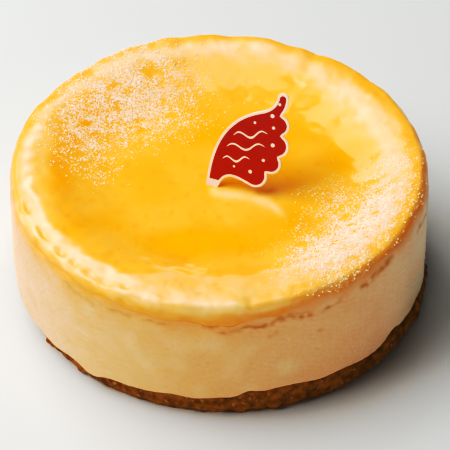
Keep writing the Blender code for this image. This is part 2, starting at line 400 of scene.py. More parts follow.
@dataclass(frozen=True)
class Crease:
    """A fold in the baked side: a groove with a lip above it, along a wavy line.

    Attributes:
        angles: Angles of the line's corners in degrees.
        heights: Heights of those corners in mm.
        depth: The groove's depth in mm.
        width: The groove's half width in mm.
    """

    angles: tuple[float, ...]
    heights: tuple[float, ...]
    depth: float
    width: float

    def strength(self, degrees: Array, height: Array, offset: float, spread: float) -> Array:
        """How strongly the fold shows at each place.

        The line's height is read between its corners. The strength is a bell across the line, times
        a share that fades within 1.2 degrees of the line's ends.

        Args:
            degrees: Angles in degrees, from 0 to 360.
            height: Heights in mm, from which the folds' common ripple has been taken.
            offset: How far above the line the bell is centred, in the groove's half widths.
            spread: How many times as wide as the groove the bell is.

        Returns:
            A share from 0 to 1.
        """
        line = np.interp(degrees, self.angles, self.heights)
        fade = 1.2
        rise, fall = ((end - fade, end + fade) for end in (self.angles[0], self.angles[-1]))
        return bell(height - line, offset * self.width, self.width * spread) * between(degrees, rise, fall)


@dataclass(frozen=True)
class CakeForm:
    """The baked cake's own form, from the same sizes as its solids.

    Attributes:
        crest_width: Width over which the crest's uneven rise fades in.
        shoulder_length: The shoulder's length in mm, for one unit of `along`.
        floor_reach: How much further the dish's floor reaches, and the degrees where it does.
        flat_within: Radius within which the biscuit's top is level.
        uneven_from: Radius from which it follows its ledges.
        floor_waves: Ripples of the floor's edge, as `ripples` takes them.
        crest_waves: Ripples of the crest's height.
        side_waves: Ripples of the side's radius.
        dips: Low and high places on the crest: degrees, rise in mm, half width in degrees.
        dimples: Pinched dimples on the crest: degrees, half length in degrees, radius, half width
            and depth in mm.
        ledges: Where the biscuit climbs or sinks: degrees, rise in mm, half width in degrees.
        glaze_ends: Where the glaze ends: degrees, and the place `along` the outline.
        lumps: Layers of relief: zone, height in mm, wavelength in mm, seed, and how many times as
            wide as high the lumps are.
        inner_ridge: How far the left's inner ridge stands out, in mm.
        pick_ridge_height: Height of the ridge by the pick in mm.
        shoulder_inset: How far the shoulder's foot and the side lie further in, in mm.
        pit_depth: Depth of the side's pits in mm.
        groove: Depth of a fold's groove as a share of its named depth, and lip its lip's height.
        creases: The folds in the side just under the rim.
    """

    radius: float = 75.3 * MM
    crest_height: float = 51.8 * MM
    dish_depth: float = 7.4 * MM
    biscuit_thickness: float = 7.6 * MM
    crest_radius: float = 70.9 * MM
    crest_width: float = 14 * MM
    crest_tilt: float = 0.9 * MM
    shoulder_drop: float = 6.8 * MM
    shoulder_length: float = 9.6
    floor_radius: float = 38 * MM
    floor_sag: float = 0.5 * MM
    floor_reach: tuple[float, float] = (-4 * MM, 188)
    lower_rounding: float = 1.2 * MM
    belly: float = 0.3 * MM
    clearance: float = 0.3 * MM
    flat_within: float = 58 * MM
    uneven_from: float = 68 * MM
    floor_waves: Waves = ((7, (2, 6), 0.9), (8, (7, 24), 0.5))
    crest_waves: Waves = ((11, (2, 6), 0.15), (12, (7, 25), 0.2))
    side_waves: Waves = ((21, (2, 6), 0.2), (22, (7, 22), 0.12))
    dips: tuple[Triple, ...] = (
        *((25, -0.5, 5), (42, -0.4, 8), (59.5, -1.3, 3.5), (96, 0.3, 5), (106, 0.9, 5)),
        *((118, 1.1, 3.5), (135, -0.9, 5), (142, -0.3, 5), (176, 0.4, 4), (186, -0.5, 4)),
    )
    dimples: tuple[Numbers, ...] = (
        (200, 2.0, 70.6, 1.7, 1.0),
        (212, 2.7, 70.8, 1.4, 0.9),
        (221, 1.9, 71.2, 1.5, 1.0),
        (227, 1.8, 71.5, 1.3, 0.8),
        (232, 1.9, 71.6, 1.3, 0.8),
        (238.5, 2.8, 71.8, 1.5, 1.0),
        (244, 1.5, 71.0, 1.2, 0.7),
        (256, 2.6, 71.2, 1.5, 0.5),
        (279, 2.4, 71.0, 1.6, 0.6),
        (291, 2.8, 71.4, 1.5, 0.5),
        (33, 2.6, 70.2, 1.8, 0.6),
        (118, 2.8, 70.8, 1.6, 0.7),
        (161, 2.4, 71.0, 1.5, 0.6),
    )
    ledges: tuple[Triple, ...] = (
        *((234.5, -1.6, 3.5), (262, 0.8, 12), (278, 2.4, 3), (287, 3.2, 7), (302, 1.0, 6)),
        *((318, -1.2, 5), (325, 2.4, 3.2), (350, -2.8, 11), (22, 1.4, 8), (48, -1.6, 9)),
        *((75, 2.0, 7), (104, -1.0, 8), (131, 1.8, 6), (160, -1.8, 10), (190, 1.6, 9)),
    )
    glaze_ends: tuple[Numbers, ...] = (
        *((0, 2.72), (30, 2.85), (70, 2.9), (110, 2.84), (150, 2.8), (175, 2.7), (195, 2.62)),
        *((228, 2.66), (240, 2.78), (252, 2.95), (264, 3.0), (274, 2.98), (283, 2.85)),
        *((292, 2.75), (300, 2.66), (310, 2.56), (322, 2.56), (335, 2.62), (350, 2.7), (360, 2.72)),
    )
    lumps: tuple[tuple[Zone, float, float, int, float], ...] = (
        (Zone.RIM, 0.09, 9, 31, 1.0),
        (Zone.RIM, 0.03, 3, 32, 1.0),
        (Zone.SLOPE, 0.05, 16, 37, 1.0),
        (Zone.SLOPE, 0.035, 6, 38, 1.0),
        (Zone.TOP, 0.04, 26, 33, 1.0),
        (Zone.SIDE, 0.05, 14, 34, 1.6),
        (Zone.SIDE, 0.045, 3, 35, 1.8),
    )
    inner_ridge: float = 0.22
    pick_ridge_height: float = 0.06
    shoulder_inset: float = 0.26
    pit_depth: float = 0.22
    groove: float = 0.45
    lip: float = 0.35
    creases: tuple[Crease, ...] = (
        Crease((266.5, 268.5, 270.5), (42.6, 43.2, 44.3), 0.35, 0.5),
        Crease((270, 272, 275.6), (40.9, 40.3, 41.5), 0.4, 0.5),
        Crease((276, 282, 287.6, 291, 295), (42.6, 41.9, 44.4, 43.2, 41.8), 0.6, 0.6),
        Crease((283, 285.5), (36.7, 37.3), 0.25, 0.45),
        Crease((298, 301, 305.5), (42.1, 42.6, 44.1), 0.4, 0.5),
        Crease((310.5, 314, 317, 323.5), (44.2, 44.4, 45.3, 46.9), 0.7, 0.55),
        Crease((296.8, 299.4), (33.2, 33.6), 0.2, 0.4),
        Crease((250.5, 254, 257.5), (42.4, 42.9, 42.2), 0.3, 0.45),
        Crease((226, 230, 236), (44.2, 42.8, 42.2), 0.3, 0.6),
        Crease((238, 243, 247), (43.0, 42.4, 42.9), 0.3, 0.5),
        Crease((8, 14, 19), (43.2, 42.1, 43.0), 0.5, 0.55),
        Crease((37, 42, 51), (42.6, 43.4, 41.9), 0.5, 0.6),
        Crease((72, 80), (41.6, 42.7), 0.35, 0.5),
        Crease((96, 103, 109), (43.2, 41.8, 42.6), 0.55, 0.6),
        Crease((131, 136, 143), (42.0, 43.1, 42.4), 0.4, 0.5),
        Crease((158, 166), (42.9, 42.0), 0.35, 0.5),
        Crease((339, 344, 351), (43.4, 42.3, 42.9), 0.45, 0.55),
    )

    @property
    def side_top(self) -> float:
        """Height where the shoulder ends and the side begins."""
        return self.crest_height - self.shoulder_drop

    @property
    def dish_level(self) -> float:
        """Height of the dish's floor at its middle."""
        return self.crest_height - self.dish_depth - self.floor_sag

    def meeting_height(self, radius: Array | float, angle: Array) -> Array:
        """Height at which body and biscuit meet.

        The biscuit's thickness, plus swells and a ripple round the edge that fade inwards.

        Args:
            radius: Distances from the axis.
            angle: Angles in radians.

        Returns:
            The height at each place.
        """
        uneven = swells(angle, self.ledges) + ripple(angle, 41, (14, 34), 0.22 * MM)
        share = np.clip((radius - self.flat_within) / (self.uneven_from - self.flat_within), 0, 1)
        return self.biscuit_thickness + share * uneven

    def meeting_rings(self, radii: Sequence[float], angle: Array, lift: float = 0.0) -> Array:
        """Rings of the given radii on the surface where body and biscuit meet, raised by lift."""
        radius = np.array(radii)[:, None]
        return round_points(radius, angle, self.meeting_height(radius, angle) + lift)

    def crest_rise(self, angle: Array) -> Array:
        """How far the crest stands above its mean: swells, two ripples and a tilt to the back."""
        return swells(angle, self.dips) + ripples(angle, self.crest_waves) + self.crest_tilt * np.sin(angle)

    def dimple_depth(self, radius: Array, angle: Array) -> Array:
        """Depth of the dimples in mm: for each, a bell across the radius times one of the angle."""
        return sum(
            depth * bell(radius / MM, at_radius, width) * swell(angle, at, length)
            for at, length, at_radius, width, depth in self.dimples
        )

    def point(self, along: Array, angle: Array) -> Array:
        """The form without fine relief, from the dish's centre over the rim and down the side.

        The floor sags slightly, and reaches out by a cosine of the angle. The slope rises by half a
        cosine wave to the crest, and the crest's uneven rise fades in over its last 14 mm. The
        shoulder is a quarter ellipse. The side runs straight down to the biscuit, whose wandering
        height it follows.

        Args:
            along: Place on the outline, as Stretch counts it.
            angle: Angles in radians.

        Returns:
            Points with x, y and z on the last axis.
        """
        on_floor, on_slope = Stretch.FLOOR.share(along), Stretch.SLOPE.share(along)
        turn = Stretch.SHOULDER.share(along) * math.pi / 2
        down = Stretch.SIDE.share(along)
        reach, reach_at = self.floor_reach
        floor = self.floor_radius + reach * np.cos(angle - math.radians(reach_at))
        floor = floor + ripples(angle, self.floor_waves)
        out = (self.radius - self.crest_radius) * np.sin(turn)
        radius = floor * on_floor + (self.crest_radius - floor) * on_slope + out
        height = self.crest_height - self.dish_depth * (1 + np.cos(math.pi * on_slope)) / 2
        height = height - self.shoulder_drop * (1 - np.cos(turn))
        even_radius = self.floor_radius * on_floor + (self.crest_radius - self.floor_radius) * on_slope
        on_crest = smooth_step(self.crest_radius - self.crest_width, self.crest_radius, even_radius)
        height = height + on_crest * self.crest_rise(angle) * (1 - smooth_step(0, 0.12, down))
        height = height - self.dimple_depth(radius, angle) * MM * (down <= 0)
        height = height - self.floor_sag * (1 - np.clip(radius / floor, 0, 1) ** 2)
        side_low = self.meeting_height(radius, angle) + self.clearance + self.lower_rounding
        height = height + down * (side_low - self.side_top)
        belly = self.belly * (np.cos((height / self.crest_height - 0.3) * math.pi) - 0.7)
        radius = radius + np.sin(turn) * (ripples(angle, self.side_waves) + belly)
        return round_points(radius, angle, height)

    def normal(self, along: Array, angle: Array) -> Array:
        """Outward unit normals of the form, from the cross product of its two directions.

        Args:
            along: Places on the outline.
            angle: Angles in radians.

        Returns:
            The normals. Near the dish's centre they are read a little further out.
        """
        step, least = 0.004, 0.01
        out = self.point(along + step, angle) - self.point(np.maximum(along - step, 0.001), angle)
        clear = np.maximum(along, least)
        beside = self.point(clear, angle + step) - self.point(clear, angle - step)
        cross = np.cross(out, beside)
        return cross / np.linalg.norm(cross, axis=-1, keepdims=True)

    def relief(self, points: Array, along: Array, angle: Array) -> Array:
        """Fine relief outwards: a lumpy rim, a faintly uneven slope, and a side with folds and pits.

        Each layer of lumps is unevenness in its zone. On the left the crest lies further in: a bell
        is added inside it and one taken off outside. The ridge by the pick is a bell across a bent
        line. From the crest down the skin draws in. A pit is where unevenness of 1.6 mm passes a
        threshold, and a fold is a groove with a lip above it.

        Args:
            points: The form's points.
            along: Their place on the outline.
            angle: Their angles in radians.

        Returns:
            How far each point moves along its normal, in metres.
        """
        out = np.hypot(points[..., 0], points[..., 1]) / MM
        total = sum(
            height * zone.share(along) * unevenness(points * (1, 1, squash), size, seed)
            for zone, height, size, seed, squash in self.lumps
        )
        inner_crest = bell(out, 67.4, 3) - 0.7 * bell(out, 71.2, 1.9)
        total = total + self.inner_ridge * inner_crest * self.left_ridges(angle)
        total = total + (along < 1.3) * self.pick_ridge_height * self.pick_ridge(points)
        total = total - self.shoulder_inset * smooth_step(2.1, 2.7, along)
        pits = self.pit_depth * np.maximum(unevenness(points * (1, 1, 1.3), 1.6, 36) - 1.8, 0)
        folds = self.lip * self.folds(points, angle, 1.3) - self.groove * self.folds(points, angle, 0)
        return (total + Zone.SIDE.share(along) * (folds - pits)) * MM

    def left_ridges(self, angle: Array) -> Array:
        """Where the rim has two ridges: from the left round to the front left."""
        return between(in_degrees(angle), (125, 168), (236, 256))

    def pick_ridge(self, points: Array) -> Array:
        """The low ridge that the pick pushed up in front of it: a bell across a bent line.

        Args:
            points: Places on the top.

        Returns:
            A share from 0 to 1.
        """
        x, y = points[..., 0] / MM, points[..., 1] / MM
        line = np.interp(x, (-4, 3, 12, 18, 24), (-6.6, -8.8, -10.8, -14.0, -20.5))
        return between(x, (-4.5, -1), (20, 25)) * bell(y, line, 2.7)

    def folds(self, points: Array, angle: Array, offset: float, spread: float = 1.0) -> Array:
        """Depth of the folds in mm, each along its line with a common ripple of 0.22 mm.

        Args:
            points: Places on the side.
            angle: Their angles in radians.
            offset: How far above its line each fold is read, in its own half widths.
            spread: How many times as wide as its groove each fold is read.

        Returns:
            The sum of the folds' depths.
        """
        degrees = in_degrees(angle)
        height = points[..., 2] / MM - ripple(angle, 77, (60, 100), 0.22)
        return sum(fold.depth * fold.strength(degrees, height, offset, spread) for fold in self.creases)

    def skin(self, along: Array, angle: Array, lift: Array | float = 0.0) -> Array:
        """The baked surface: the form moved out along its normal by its relief and a lift.

        Args:
            along: Places on the outline.
            angle: Angles in radians.
            lift: How far above the surface, in metres.

        Returns:
            Points with x, y and z on the last axis.
        """
        points = self.point(along, angle)
        out = self.relief(points, along, angle) + lift
        return points + self.normal(along, angle) * out[..., None]

    def glaze_edge(self, angle: Array) -> Array:
        """Where the glaze ends on the outline: it hangs lowest at the front, with small drips."""
        at, ends = np.array(self.glaze_ends).T
        return np.interp(in_degrees(angle), at, ends) + ripple(angle, 51, (9, 40), 0.035)

    def within_edge(self, along: Array, angle: Array) -> Array:
        """Distance in mm, down the shoulder, that is left to the glaze's edge."""
        return (self.glaze_edge(angle) - along) * self.shoulder_length


@dataclass(frozen=True)
class BakedCreamCheese:
    """Baked cream cheese batter: moist, close and pale, set against a metal ring.

    To the eye it is soft and matt with a faint moist sheen, lets a little light in, and has tiny
    pits. Near the rim it takes an orange stain from the glaze, and it is darker along its folds.
    """

    colour: str = "#FBD3AA"
    deep_colour: str = "#F6C694"
    warm: str = "#F0AD71"
    # Painted light: the cooler light that reaches the shaded right side.
    pale: str = "#F0DCBC"
    stain: str = "#FAA040"
    fold: str = "#D9974A"
    roughness: float = 0.48
    ior: float = 1.45

    def material(self) -> bpy.types.Material:
        """Builds the finish: two creams mottled at 6 mm, and four other shades by their marks.

        The pores, at 1.1 mm, are drawn coarser than real ones so that they show.

        Returns:
            The material.
        """
        coat = Coating("baked_cream_cheese", self.deep_colour, self.roughness, self.ior)
        coat.lay(self.colour, coat.pattern(6, 6, (0.25, 0.75)))
        for mark in ("warm", "pale", "stain", "fold"):
            coat.lay(getattr(self, mark), mark=mark)
        coat.roughen(1.1, 4, 0.7, 0.25)
        light = {"Weight": 0.15, "Radius": (0.8, 0.6, 0.45), "Scale": 2 * MM}
        coat.shade({f"Subsurface {name}": value for name, value in light.items()})
        return coat.finished()


@dataclass(frozen=True)
class EggGlaze:
    """Clear sugar glaze brushed over a yolk-yellow baked top.

    To the eye it is a wet gloss over a strong warm yellow. It is deepest in the dish, thin and pale
    on the rim, darker where it gathers at its edge, and orange where the top baked hardest.
    On the slopes at the right and the front its pale thin shade is painted reflection. A cream shade
    is painted highlight, painted reflection and painted light on the rim, the slopes and the shoulder.
    """

    dish: str = "#FDA200"
    # Also laid along the ridge by the pick, as a painted highlight.
    pale: str = "#FDAD46"
    # Pale thin glaze on the rim, and painted reflection on the slopes at the right and the front.
    thin_and_reflection: str = "#F8BA78"
    baked: str = "#FC9600"
    gathered: str = "#FAA020"
    # Pale cream of the crest, and painted highlight, painted reflection and painted light on the rim, the
    # slopes and the shoulder.
    pale_crest_and_painted_light: str = "#FFDDA8"
    dust: str = "#FFF6E6"
    roughness: float = 0.13
    dusty_roughness: float = 0.8
    thin_and_reflection_duller: float = 0.17
    pale_crest_and_painted_light_duller: float = 0.22
    ior: float = 1.46

    def material(self) -> bpy.types.Material:
        """Builds the finish: shades by their marks, broken up at 6 mm, and dust as a dry veil.

        The veil's specks, at 0.8 mm, are drawn coarser than real ones so that they show.

        Returns:
            The material.
        """
        coat = Coating("egg_glaze", self.dish, self.roughness, self.ior)
        broken = coat.pattern(6, 3, (0.3, 0.6), (0.6, 1))
        # Some of these shades are painted light: a painted highlight by the pick, painted reflections on the
        # slopes, and painted highlights and light on the rim and the shoulder.
        for mark in ("pale", "thin_and_reflection", "baked", "gathered", "pale_crest_and_painted_light"):
            coat.lay(getattr(self, mark), broken, mark)
        veil = coat.lay(self.dust, coat.pattern(0.8, 2, (0.44, 0.6)), "dust")
        limits = {"Value": veil, "To Min": self.roughness, "To Max": self.dusty_roughness}
        gloss = add_node(coat.tree, "ShaderNodeMapRange", inputs=limits).outputs[0]
        for mark, duller in (("thin_and_reflection", self.thin_and_reflection_duller), ("pale_crest_and_painted_light", self.pale_crest_and_painted_light_duller)):
            share = add_node(coat.tree, "ShaderNodeAttribute", {"attribute_name": mark}).outputs["Fac"]
            sum_of = {0: share, 1: duller, 2: gloss}
            gloss = add_node(coat.tree, "ShaderNodeMath", {"operation": "MULTIPLY_ADD"}, sum_of).outputs[0]
        coat.shade({"Roughness": gloss})
        coat.roughen(5, 3, 0.3, 0.15)
        return coat.finished()


@dataclass(frozen=True)
class PressedBiscuit:
    """Crushed biscuit pressed with butter: dry, coarse and brown, with pale and burnt crumbs."""

    colour: str = "#B27820"
    dark: str = "#865410"
    pale: str = "#CC9A50"
    roughness: float = 0.82
    ior: float = 1.4

    def material(self) -> bpy.types.Material:
        """Builds the finish: browns mottled at 3 mm, one crumb in fourteen pale, and a gritty relief.

        Returns:
            The material.
        """
        coat = Coating("pressed_biscuit", self.dark, self.roughness, self.ior)
        coat.lay(self.colour, coat.pattern(3, 5, (0.35, 0.6)))
        inputs = {"Vector": coat.place, "Scale": 1 / (1.1 * MM)}
        crumbs = add_node(coat.tree, "ShaderNodeTexVoronoi", inputs=inputs).outputs["Color"]
        lone = add_node(coat.tree, "ShaderNodeSeparateColor", inputs={"Color": crumbs}).outputs[0]
        limits = {"Value": lone, "From Min": 0.93, "From Max": 1.0}
        coat.lay(self.pale, add_node(coat.tree, "ShaderNodeMapRange", inputs=limits).outputs[0])
        coat.roughen(0.8, 4, 0.7, 0.3)
        return coat.finished()


@dataclass(frozen=True)
class SiftedSugar:
    """Icing sugar sifted from above: dry white specks that have half melted together."""

    colour: str = "#FFF3E2"
    melted: str = "#F7DFB4"
    roughness: float = 0.75
    ior: float = 1.5

    def material(self) -> bpy.types.Material:
        """Builds the finish: a warm white, yellower where the specks melted, mottled at 2 mm."""
        coat = Coating("icing_sugar", self.melted, self.roughness, self.ior)
        coat.lay(self.colour, coat.pattern(2, 1))
        return coat.finished()


@dataclass(frozen=True)
class PrintedCard:
    """Coated card, die cut and printed: satin, flat in colour, with a faint paper tooth."""

    name: str
    colour: str
    roughness: float = 0.38
    ior: float = 1.5

    def material(self) -> bpy.types.Material:
        """Builds the finish: one ink, a little lighter and darker at 5 mm, under a satin coat.

        The paper's tooth, at 0.25 mm, is drawn coarser than a real one so that it shows.

        Returns:
            The material.
        """
        coat = Coating(self.name, self.colour, self.roughness, self.ior)
        inputs = {"Color": coat.colour, "Value": coat.pattern(5, 2, (0, 1), (0.9, 1.08))}
        coat.colour = add_node(coat.tree, "ShaderNodeHueSaturation", inputs=inputs).outputs[0]
        coat.roughen(0.25, 2, 0.12, 0.03)
        return coat.finished()


@dataclass
class CheeseBody:
    """The baked body: what shows of it is the side and the shoulder's foot.

    Attributes:
        warmth: How much warmer the side is: degrees, and the share there.
    """

    form: CakeForm
    finish: BakedCreamCheese = field(default_factory=BakedCreamCheese)
    around: int = 720
    slope_rings: int = 16
    shoulder_rings: int = 26
    side_rings: int = 84
    warmth: tuple[Numbers, ...] = ((190, 0), (235, 0.45), (265, 0.7), (290, 0.45), (315, 0.35), (340, 0))

    def build(self) -> list[bpy.types.Object]:
        """Builds the closed body: the top under the glaze, the side, and the underside.

        Returns:
            The piece that stands for the solid named filling.
        """
        turn = np.linspace(-math.pi, math.pi, self.around, endpoint=False)
        slope = 1 + np.linspace(0, 1, self.slope_rings, endpoint=False)
        shoulder = 2 + np.linspace(0, 1, self.shoulder_rings, endpoint=False)
        side = 3 + np.linspace(0, 1, self.side_rings)
        rows = np.concatenate([(0.35, 0.7), slope, shoulder, side])
        along, angle = np.broadcast_arrays(rows[:, None], turn)
        upper = self.form.skin(along, angle)
        rings = np.concatenate([upper, self.underside(upper[-1])])
        first = np.array([0, 0, self.form.dish_level])
        last = np.array([0, 0, self.form.biscuit_thickness + self.form.clearance])
        mesh = closed_rings("cheese_body", rings, first, last)
        self.colour(mesh, along, angle, upper)
        piece = place_piece(mesh, self.finish.material())
        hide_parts("filling")
        return [piece]

    def underside(self, edge: Array) -> Array:
        """Rings below the side: a quarter round at the lower edge, and then the biscuit's top.

        Args:
            edge: The side's lowest ring.

        Returns:
            The rings, from the edge inwards.
        """
        form = self.form
        radius, angle = np.hypot(edge[:, 0], edge[:, 1]), np.arctan2(edge[:, 1], edge[:, 0])
        turn = np.radians((30, 60, 90))[:, None]
        inset, drop = form.lower_rounding * (1 - np.cos(turn)), form.lower_rounding * np.sin(turn)
        rounded = round_points(radius - inset, angle, edge[:, 2] - drop)
        return np.concatenate(
            [rounded, form.meeting_rings((form.uneven_from, form.flat_within), angle, form.clearance)]
        )

    def colour(self, mesh: bpy.types.Mesh, along: Array, angle: Array, upper: Array) -> None:
        """Marks the stain below the glaze's edge, the darker colour along the folds and the side's warmer
        parts.

        The stain is exp(-distance / reach) below the edge, strongest on the left and front left.
        The folds are read twice as wide as their grooves. The side is warmest at the front, as the
        warmth says, and palest at the right, by a swell of the angle. That paleness is painted light, the
        cooler light that reaches the shaded right side.

        Args:
            mesh: The body's mesh.
            along: Places on the outline of its upper rings.
            angle: Angles of its upper rings.
            upper: Points of its upper rings.
        """
        form = self.form
        edge = form.point(form.glaze_edge(angle[:1]), angle[:1])[..., 2]
        below = np.clip(edge - upper[..., 2], 0, None) / MM
        left = swell(angle, 222, 38)
        reach = 2.6 + 3.0 * left + 0.9 * unevenness(upper, 9, 61)
        stain = (0.62 + 0.38 * left) * np.exp(-below / np.maximum(reach, 0.5)) * (along > 2.3)
        fold = 2 * form.folds(upper, angle, -0.15, 2.1) * (0.8 + 0.4 * unevenness(upper, 3, 62))
        warm = np.interp(in_degrees(angle), *np.array(self.warmth).T) * patchy(upper, 12, 63, 1, 0.2)
        # Painted light on the right of the side, paler and cooler where only the room's light reaches it.
        pale = swell(angle, 352, 27) * patchy(upper, 12, 64, 1, 0.2)
        paint(mesh, {"stain": stain, "fold": fold, "warm": warm, "pale": pale})


@dataclass
class SugarPatch:
    """One sifted patch of icing sugar: where it lies and how it fades.

    Attributes:
        blobs: Bells that add up to the patch: x, y, half width along and across in mm, the turn of
            its long side in degrees, and its weight.
    """

    blobs: tuple[Numbers, ...]

    def density(self, points: Array) -> Array:
        """How thickly the sugar lies: the sum of the bells, broken up by unevenness of 5 and 11 mm.

        Args:
            points: Places on the top.

        Returns:
            The density, from 0 to about 2.
        """
        total = np.zeros(points.shape[:-1])
        for x, y, long, wide, turn, weight in self.blobs:
            c, s = math.cos(math.radians(turn)), math.sin(math.radians(turn))
            dx, dy = points[..., 0] / MM - x, points[..., 1] / MM - y
            total += weight * bell(c * dx + s * dy, 0, long) * bell(c * dy - s * dx, 0, wide)
        broken = 1 + 0.35 * unevenness(points, 5, 71) + 0.25 * unevenness(points, 11, 72)
        return np.clip(total * broken, 0, None)


class Dusting(Enum):
    """The two patches that were dusted."""

    BACK_LEFT = SugarPatch(
        (
            (-34, 43, 19, 13, 20, 0.8),
            (-49, 24, 12, 10, 60, 0.55),
            (-29, 28, 15, 8, 5, 0.35),
            (-19, 47, 9, 10, 0, 0.35),
            (-46, 4, 7, 8, 80, 0.3),
            (-36, 40, 10, 8, 30, 0.35),
            (-12, 32, 8, 6, 0, 0.2),
            (-31, 65, 9, 7, -20, 0.35),
            (-44, 16, 12, 9, 70, 0.12),
        )
    )
    FRONT_RIGHT = SugarPatch(
        (
            (45, -36, 19, 9, 50, 1.3),
            (38, -45, 12, 7, 20, 0.4),
            (57, -17, 13, 8, 70, 0.8),
            (30, -36, 9, 7, 60, 0.15),
            (62, -2, 9, 7, 80, 0.3),
            (41, -15, 11, 8, 60, 0.3),
            (44, -54, 9, 8, 30, 0.3),
        )
    )


def sugar_density(points: Array) -> Array:
    """How thickly sugar lies over the whole top."""
    return sum(patch.value.density(points) for patch in Dusting)


def bands(out: Array, angle: Array, rows: Sequence[Numbers]) -> Array:
    """The sum of bands round the top, each strongest at one angle.

    Each is its strength times a bell across the radius times a swell of the angle.

    Args:
        out: Radii in mm.
        angle: Angles in radians.
        rows: For each, its strength, radius and half width in mm, degrees and half width in degrees.

    Returns:
        The sum.
    """
    return sum(much * bell(out, at, wide) * swell(angle, turn, long) for much, at, wide, turn, long in rows)


@dataclass
class Glaze:
    """The glaze: a thin skin over the dish, the rim and the top of the shoulder.

    Attributes:
        deep_pools_and_pick_shadow: Where it lies deepest in the dish, and the pick's painted shadow: x, y and
            half widths along x and y in mm, and how much deeper its colour is. The pool right of the pick is
            a painted shadow of the pick.
        thinning_and_reflection: Where it thins towards the rim: degrees, the radius in mm where that starts,
            and the width in mm over which it thins. Where the radius lies further in, at the right and the
            front, the paleness is painted reflection.
        baked_bands: Where the slope baked hardest, as `bands` takes them.
        right_painted_reflection: A pale band of painted reflection on the right slope, and left_painted_light
            a band of painted light at the left, on the shaded inner wall.
        veil: Share of the sugar's density that shows as a dry veil, and its limit.
    """

    form: CakeForm
    finish: EggGlaze = field(default_factory=EggGlaze)
    around: int = 720
    floor_rings: int = 30
    slope_rings: int = 46
    shoulder_rings: int = 34
    thickness: float = 0.22 * MM
    bead: float = 0.04 * MM
    shell: float = 0.9 * MM
    # The front pools are deeper glaze. The one right of the pick is a painted shadow of the pick.
    deep_pools_and_pick_shadow: tuple[Numbers, ...] = ((2, -36, 34, 11, 0.9), (28, 6, 15, 22, 0.8), (-10, 20, 18, 14, 0.5))
    # Where this starts further in, at the right and the front, the pale thin shade is painted reflection of
    # the lights.
    thinning_and_reflection: tuple[Triple, ...] = (
        *((0, 57, 5), (20, 56, 6), (62, 57, 6), (100, 58.5, 6), (140, 62, 5), (160, 65.5, 2.5)),
        *((240, 65.5, 2.5), (250, 57.5, 2.5), (262, 54.5, 3), (290, 54, 3), (305, 55, 4)),
        *((330, 57, 5), (360, 57, 5)),
    )
    baked_bands: tuple[Numbers, ...] = ((0.75, 56.5, 5, 180, 28), (0.7, 55, 11, 140, 24))
    # Painted reflection on the right slope, and painted light on the shaded left inner wall.
    right_painted_reflection: Numbers = (0.45, 60.5, 4.5, 30, 28)
    left_painted_light: Numbers = (0.35, 63.5, 2.5, 180, 25)
    veil: tuple[float, float] = (0.45, 0.7)

    def thickness_at(self, along: Array, angle: Array) -> Array:
        """Thickness of the glaze: even, with a bead 1.2 mm inside its edge, and nothing at the edge.

        Args:
            along: Places on the outline.
            angle: Angles in radians.

        Returns:
            The thickness at each place.
        """
        inside = np.clip(self.form.within_edge(along, angle), 0, None)
        return (self.thickness + self.bead * bell(inside, 1.2, 0.8)) * (1 - np.exp(-inside / 0.9))

    def outer(self, along: Array, angle: Array, lift: float = 0.0) -> Array:
        """The glaze's outer surface, moved out by lift metres."""
        return self.form.skin(along, angle, self.thickness_at(along, angle) + lift)

    def build(self) -> list[bpy.types.Object]:
        """Builds the closed shell: the outer face, and an inner face sunk in the body.

        Returns:
            The glaze.
        """
        turn = np.linspace(-math.pi, math.pi, self.around, endpoint=False)
        floor = np.linspace(0.03, 1, self.floor_rings, endpoint=False)
        slope = 1 + np.linspace(0, 1, self.slope_rings, endpoint=False)
        shoulder = np.linspace(0, 1, self.shoulder_rings)
        along, angle = self.rows(np.concatenate([floor, slope]), shoulder, turn)
        upper = self.outer(along, angle)
        back_along, back_angle = self.rows(np.array([0.3, 1.0, 1.6]), np.array([0, 0.4, 0.7, 0.96]), turn)
        lower = self.form.skin(back_along, back_angle, -self.shell)[::-1]
        middle = self.form.point(np.array([0.0]), np.array([0.0]))[0]
        first, last = middle + (0, 0, self.thickness), middle - (0, 0, self.shell)
        mesh = closed_rings("glaze", np.concatenate([upper, lower]), first, last)
        self.colour(mesh, along, angle, upper)
        return [place_piece(mesh, self.finish.material())]

    def rows(self, inner: Array, shares: Array, turn: Array) -> tuple[Array, Array]:
        """Rows of places on the outline: level ones, and then shares of the way to the glaze's edge.

        Args:
            inner: Places of the level rows.
            shares: Shares of the way from the crest to the edge.
            turn: Angles in radians.

        Returns:
            The places and their angles, one row a ring.
        """
        level = np.broadcast_to(inner[:, None], (len(inner), len(turn)))
        along = np.concatenate([level, 2 + shares[:, None] * (self.form.glaze_edge(turn) - 2)])
        return along, np.broadcast_to(turn, along.shape)

    def colour(self, mesh: bpy.types.Mesh, along: Array, angle: Array, upper: Array) -> None:
        """Marks how pale, thin, gathered, baked and dusted the glaze is, and where light is painted on it.

        Pale is unevenness of 22 mm, less the deep pools, and the ridge by the pick, which is a painted
        highlight.
        One pool, right of the pick, is a painted shadow of the pick. Thin rises over 2.5 to 6 mm from a
        radius that changes round the cake, and where that radius lies further in, at the right and the front,
        it is painted reflection. Baked is bands on the left and back left slope, and small blots. Dusted is
        the sugar's density.
        The cream shade is a pale crest with painted highlight, painted reflection and painted light.

        Args:
            mesh: The glaze's mesh.
            along: Places on the outline of its upper rings.
            angle: Angles of its upper rings.
            upper: Points of its upper rings.
        """
        out = np.hypot(upper[..., 0], upper[..., 1]) / MM + 0.5 * unevenness(upper, 9, 81)
        at, start, fade = np.array(self.thinning_and_reflection).T
        degrees = in_degrees(angle)
